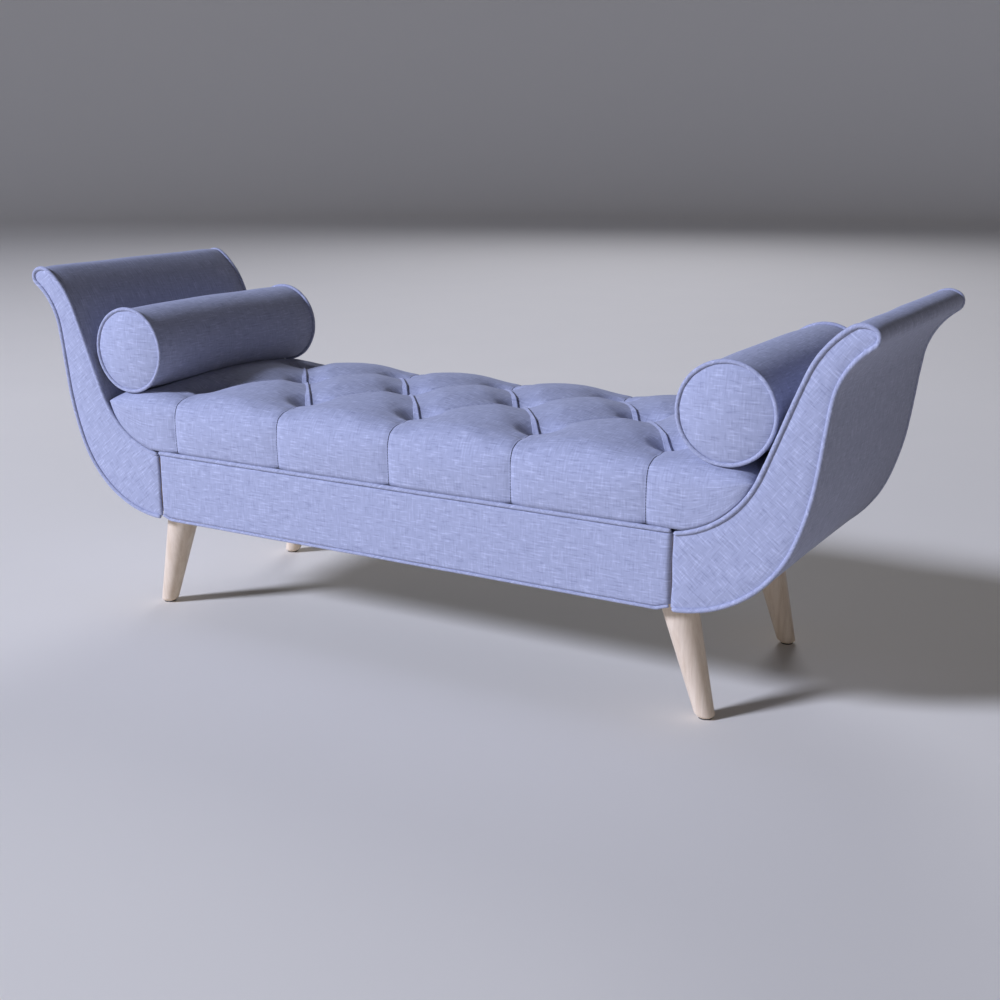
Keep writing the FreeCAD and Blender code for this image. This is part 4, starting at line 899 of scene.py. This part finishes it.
def settle(points, held, pressure):
    """How far pinned cloth moves when it is blown up from within."""
    foot = np.linspace(points[:, -1], points[:, 0], 6, axis=1)
    top, under = patch(points, points[..., :2]), patch(foot, foot[..., :2])
    count = len(top[0])
    mesh = bpy.data.meshes.new("trial_cloth")
    mesh.from_pydata(np.concatenate([top[0], under[0]]).tolist(), [],
                     top[1].tolist() + (under[1] + count).tolist())
    trial = bpy.data.objects.new("trial_cloth", mesh)
    bpy.context.scene.collection.objects.link(trial)
    pins = trial.vertex_groups.new(name="held")
    pins.add(np.flatnonzero(held.ravel()).tolist(), 1.0, "REPLACE")
    pins.add(list(range(count, count + len(under[0]))), 1.0, "REPLACE")
    cloth_way = trial.modifiers.new("settle", "CLOTH")
    cloth_way.settings.quality = 6
    cloth_way.settings.mass = 0.15
    cloth_way.settings.tension_stiffness = 12
    cloth_way.settings.compression_stiffness = 12
    cloth_way.settings.shear_stiffness = 5
    cloth_way.settings.bending_stiffness = 0.5
    cloth_way.settings.use_pressure = True
    cloth_way.settings.uniform_pressure_force = pressure
    cloth_way.settings.vertex_group_mass = "held"
    cloth_way.settings.effector_weights.gravity = 0
    cloth_way.collision_settings.use_collision = False
    cloth_way.point_cache.frame_end = CLOTH_FRAMES
    for frame_number in range(1, CLOTH_FRAMES + 1):
        bpy.context.scene.frame_set(frame_number)
    done = trial.evaluated_get(bpy.context.evaluated_depsgraph_get())
    after = np.array([v.co for v in done.data.vertices])[:count]
    bpy.data.objects.remove(trial)
    bpy.data.meshes.remove(mesh)
    bpy.context.scene.frame_set(1)
    return after.reshape(points.shape) - points


def widened(places, kept, values):
    """Values given at some places of the first axis, drawn straight between them at all its places."""
    spot = np.clip(np.searchsorted(kept, np.arange(len(places)), side="right") - 1, 0, len(kept) - 2)
    start, stop = places[kept[spot]], places[kept[spot + 1]]
    share = ((places - start) / (stop - start))[:, None, None]
    return values[spot] * (1 - share) + values[spot + 1] * share


near = line_distance(gx, gs)
normal = np.cross(np.gradient(cloth, axis=0), np.gradient(cloth, axis=1))
normal /= np.linalg.norm(normal, axis=2)[..., None] + 1e-9
free = smooth_step(near / FREE_FROM_LINES) * smooth_step((S_END - np.abs(gs)) / FREE_FROM_FOOT)
free *= smooth_step((FREE_UNTIL_X - np.abs(gx)) / FREE_FADE)
slack = cloth - normal * (SLACK * free)[..., None]
thin_x = np.unique(np.append(np.arange(0, len(columns), EVERY), len(columns) - 1))
thin_s = np.unique(np.append(np.arange(0, len(across), EVERY), len(across) - 1))
coarse = slack[np.ix_(thin_x, thin_s)]
moved = settle(coarse, free[np.ix_(thin_x, thin_s)] < HELD_SHARE, PRESSURE)
size = np.linalg.norm(moved, axis=2)
print("cloth moved, mean and most in mm", round(size.mean() / MM, 2), round(size.max() / MM, 2))
moved *= (np.minimum(size, CAP) / np.maximum(size, 1e-9))[..., None]
spread = widened(columns, thin_x, moved)
spread = widened(across, thin_s, spread.swapaxes(0, 1)).swapaxes(0, 1)
cloth = slack + spread

# %% Sew the seat
UNDERSIDE_POINTS = 12
cloth = under_bolster(cloth)
middle_x, middle_s = (gx[:-1, :-1] + gx[1:, 1:]) / 2, (gs[:-1, :-1] + gs[1:, 1:]) / 2
rising = (np.floor(middle_x / (PITCH / 2)) + np.floor(middle_s / ROW)) % 2 == 1
foot = np.stack([cloth[:, -1], cloth[:, 0]], 1)
steps = np.linspace(0, 1, UNDERSIDE_POINTS)[None, :, None]
base = foot[:, :1] * (1 - steps) + foot[:, 1:] * steps
base_weave = np.stack([np.broadcast_to(columns[:, None], base.shape[:2]), base[..., 1]], 2)
seat = sew("tufted_seat", [creased(patch(cloth, weave), rising.ravel()), patch(base, base_weave)],
           finishes["linen"])
dress(seat, "bench", "linen", "seat_cushion", fill=0.8)

# %% [markdown]
# ## Pleat folds and seam stitches
# At each pleat the spare cloth is folded to one side, so the eye sees a narrow lip with a dark line
# beside it. The grid is too coarse for so sharp an edge, so each fold is a flat roll of its own, sunk
# into the seat along the pleat. It is widest at the tufts, thins out where the pleat is shallow, and dips
# into the tuft at each end. The seams on the faces are closed with a thread whose stitches lie in the
# crease. Its dark grey is partly painted shade: it draws the crease as a dark line.

# %% Pleat folds
FOLD_ACROSS = np.array([-15, -12, -9, -6, -3.5, -1.8, -0.6, 0.5, 1.6, 2.4, 1.0, -4, -10, -14]) * MM
FOLD_LIFT = np.array([-0.6, 0.6, 2.4, 4.1, 5.5, 6.2, 5.8, 3.4, 0.3, -2.4, -5, -5.5, -4.5, -2.5]) * MM
FOLD_SINK, SINK_RUN = 5 * MM, 11 * MM
FOLD_POINTS, LEAST_SIZE, SIZE_RUN = 70, 0.45, 35 * MM
folds = []
for (ax, a_s), (bx, b_s) in pleats:
    t = np.linspace(0.0, 1.0, FOLD_POINTS)
    dx, ds = bx - ax, b_s - a_s
    length = math.hypot(dx, ds)
    side = np.array([-ds * math.copysign(1, dx), abs(dx)]) / length
    near = np.minimum(t, 1 - t) * length
    size = (LEAST_SIZE + (1 - LEAST_SIZE) * np.exp(-near / SIZE_RUN))[:, None]
    size[[0, -1]] = 0
    px = ax + (t * dx)[:, None] + side[0] * FOLD_ACROSS[None] * size
    ps = a_s + (t * ds)[:, None] + side[1] * FOLD_ACROSS[None] * size
    laid = seat_point(px, ps)
    laid[..., 2] += FOLD_LIFT[None] * size - FOLD_SINK * (1 - smooth_step(near / SINK_RUN))[:, None]
    flat = np.stack([px, ps], 2)
    folds.append(patch(laid, np.concatenate([flat, flat[:, :1]], 1), wrap=True))
dress(sew("pleat_folds", folds, finishes["linen"]), "bench", "linen", fill=0.4)

# %% Seam stitches
# The thread's dark grey is partly painted shade: it darkens the seam's crease as its shadow would.
STITCH_PITCH, STITCH, THREAD_RADIUS = 5 * MM, 5.8 * MM, 1.0 * MM
PAST_TUFT, BEFORE_FOOT = 20 * MM, 3 * MM
stitches = []
for tx, ts in tufts[:10]:
    side = math.copysign(1, ts)
    for at in np.arange(abs(ts) + PAST_TUFT, S_END - BEFORE_FOOT, STITCH_PITCH):
        run = np.linspace(at, min(at + STITCH, S_END), 6) * side
        path = seat_point(np.full(6, tx), run)
        stitches.append(tube(path, THREAD_RADIUS, sides=8))
dress(sew("seam_stitches_and_painted_shade", stitches, thread_and_painted_shade), "bench", "linen")
print(len(stitches), "stitches")

# %% [markdown]
# ## Under the seat
# A sheet of felt lies between the deck and the pad, and a thin black cloth is stapled across the bottom
# of the frame. Neither shows from the front, so both are plain grids. The black cloth is a sheet with
# cut-outs for the legs.

# %% Felt under the seat
EDGE_FALL, EDGE_RUN = 3 * MM, 4 * MM
low, high = (np.array(c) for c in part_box("seat_base_pad"))
gx, gy = np.meshgrid(np.linspace(low[0], high[0], 60), np.linspace(low[1], high[1], 30), indexing="ij")
edge = np.minimum(np.minimum(gx - low[0], high[0] - gx), np.minimum(gy - low[1], high[1] - gy))
felt_top = np.stack([gx, gy, high[2] - EDGE_FALL * np.exp(-edge / EDGE_RUN)], 2)
felt_low = np.stack([gx, gy, np.full(gx.shape, low[2])], 2)
felt = sew("felt_under_seat", closed_pad(felt_top, felt_low, np.stack([gx, gy], 2), 0.0), finishes["felt"])
dress(felt, "bench", "felt", "seat_base_pad", fill=0.5)

# %% Dust cloth
SAG, STAPLE_DROP = 2.0 * MM, 0.4 * MM
LEG_GAP_X, LEG_GAP_Y = (0.485, 0.578), 0.155
low, high = (np.array(c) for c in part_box("dust_cover"))
x, y = np.linspace(low[0], high[0], 117), np.linspace(low[1], high[1], 47)
gx, gy = np.meshgrid(x, y, indexing="ij")
sag = SAG * np.sin(math.pi * (gx - low[0]) / (high[0] - low[0])) ** 2 * np.cos(gy / high[1] * math.pi / 2)
sheet = np.stack([gx, gy, high[2] - STAPLE_DROP - sag], 2)
points, faces, corners = patch(sheet, np.stack([gx, gy], 2))
centre = np.abs(points[faces].mean(1))
cut = (centre[:, 0] > LEG_GAP_X[0]) & (centre[:, 0] < LEG_GAP_X[1]) & (centre[:, 1] > LEG_GAP_Y)
under = sew("dust_cloth_under", [(points, faces[~cut], corners[~cut])], finishes["dust_cloth"])
dress(under, "bench", "dust_cloth", "dust_cover")

# %% [markdown]
# ## Floor, light and camera
# The bench stands on a pale seamless floor that coves up into a wall far away on all sides, so that views
# from the sides and the back have a plain ground too. A large cool lamp at the front left is the main
# light, so the faces that look forward are bright and the sides of the arms fall into shade. A weak lamp
# behind the bench keeps the back from going dark. The floor's cream paint warms the light that it throws
# back, and it turns grey far from the bench so that the shaded sides stay dark.

# %% Floor
PALE_UNTIL, GREY_FROM = 2.8, 11.0
FLAT_RADIUS, COVE_RADIUS, WALL_TOP = 13.0, 3.0, 9.0
FLAT_POINTS, COVE_POINTS, FLOOR_GRID = 30, 16, 90
# Floor paint, rolled on: matt cream with a faint cloudiness, grey further out.
floor_paint, tree, shader = blank("pale_floor")
place = node(tree, "ShaderNodeTexCoord").outputs["Object"]
noise = node(tree, "ShaderNodeTexNoise", {"Vector": place}, {"Scale": 3.0, "Detail": 2.0})
away = node(tree, "ShaderNodeVectorMath", {0: place}, operation="LENGTH")
far = node(tree, "ShaderNodeMapRange", {"Value": away.outputs["Value"]},
           {"From Min": PALE_UNTIL, "From Max": GREY_FROM})
shade = node(tree, "ShaderNodeMath", {0: noise.outputs["Fac"], 2: far.outputs[0]}, {1: 0.04},
             operation="MULTIPLY_ADD")
ramp = node(tree, "ShaderNodeValToRGB", {"Fac": shade.outputs[0]})
stops(ramp, [(0.0, "F2EAD9"), (0.45, "D8D1C3"), (1.0, "BFB9AD")])
tree.links.new(ramp.outputs["Color"], shader.inputs["Base Color"])
shader.inputs["Roughness"].default_value = 0.85
flat = np.stack([np.linspace(0, FLAT_RADIUS, FLAT_POINTS), np.zeros(FLAT_POINTS)], 1)
swing = np.linspace(0, math.pi / 2, COVE_POINTS)[1:]
cove = np.stack([FLAT_RADIUS + COVE_RADIUS * np.sin(swing), COVE_RADIUS * (1 - np.cos(swing))], 1)
path = np.concatenate([flat, cove, [[FLAT_RADIUS + COVE_RADIUS, WALL_TOP]]])
side = np.linspace(-1, 1, FLOOR_GRID)
gu, gv = np.meshgrid(side, side, indexing="ij")
disc = np.stack([gu * np.sqrt(1 - gv ** 2 / 2), gv * np.sqrt(1 - gu ** 2 / 2)], 2)
reach = np.linalg.norm(disc, axis=2)
run = reach * lengths(path)[-1]
out = np.interp(run, lengths(path), path[:, 0]) / np.maximum(reach, 1e-9)
room = np.stack([disc[..., 0] * out, disc[..., 1] * out, np.interp(run, lengths(path), path[:, 1])], 2)
floor = sew("floor", [patch(room, room[..., :2])], floor_paint)
print("floor flat to", FLAT_RADIUS, "m on all sides")

# %% Light
def lamp(name, at, towards, size, power, colour):
    """A round area lamp aimed at a point."""
    light = bpy.data.lights.new(name, "AREA")
    light.shape = "DISK"
    light.size = size
    light.energy = power
    light.color = linear(colour)[:3]
    holder = bpy.data.objects.new(name, light)
    holder.location = at
    holder.rotation_euler = (Vector(towards) - Vector(at)).to_track_quat("-Z", "Y").to_euler()
    bpy.context.scene.collection.objects.link(holder)
    print(name, power, "W")


MIDDLE = (0.0, 0.0, 0.4)
lamp("front_lamp", (-8.3, -10.9, 8.0), MIDDLE, size=2.9, power=3150, colour="D2DCFF")
lamp("rear_fill", (-3.0, 8.0, 5.0), MIDDLE, size=4.0, power=230, colour="E4EAFF")
world = bpy.data.worlds.new("studio")
world.use_nodes = True
glow = world.node_tree.nodes["Background"]
glow.inputs["Color"].default_value = linear("FFF0DA")
glow.inputs["Strength"].default_value = 0.025
bpy.context.scene.world = world

# %% Camera
YAW, PITCH_DOWN = 0.5284, 0.2599
LENS, SENSOR = 50.59, 36.0
camera = bpy.data.objects.new("camera", bpy.data.cameras.new("camera"))
camera.data.lens = LENS
camera.data.sensor_width = SENSOR
camera.location = (1.3707, -2.2127, 0.9364)
look = Vector((-math.sin(YAW) * math.cos(PITCH_DOWN), math.cos(YAW) * math.cos(PITCH_DOWN),
               -math.sin(PITCH_DOWN)))
camera.rotation_euler = look.to_track_quat("-Z", "Y").to_euler()
bpy.context.scene.collection.objects.link(camera)
bpy.context.scene.camera = camera
bpy.context.scene.view_settings.view_transform = "Standard"
print("camera looks", round(math.degrees(PITCH_DOWN), 1), "degrees down")
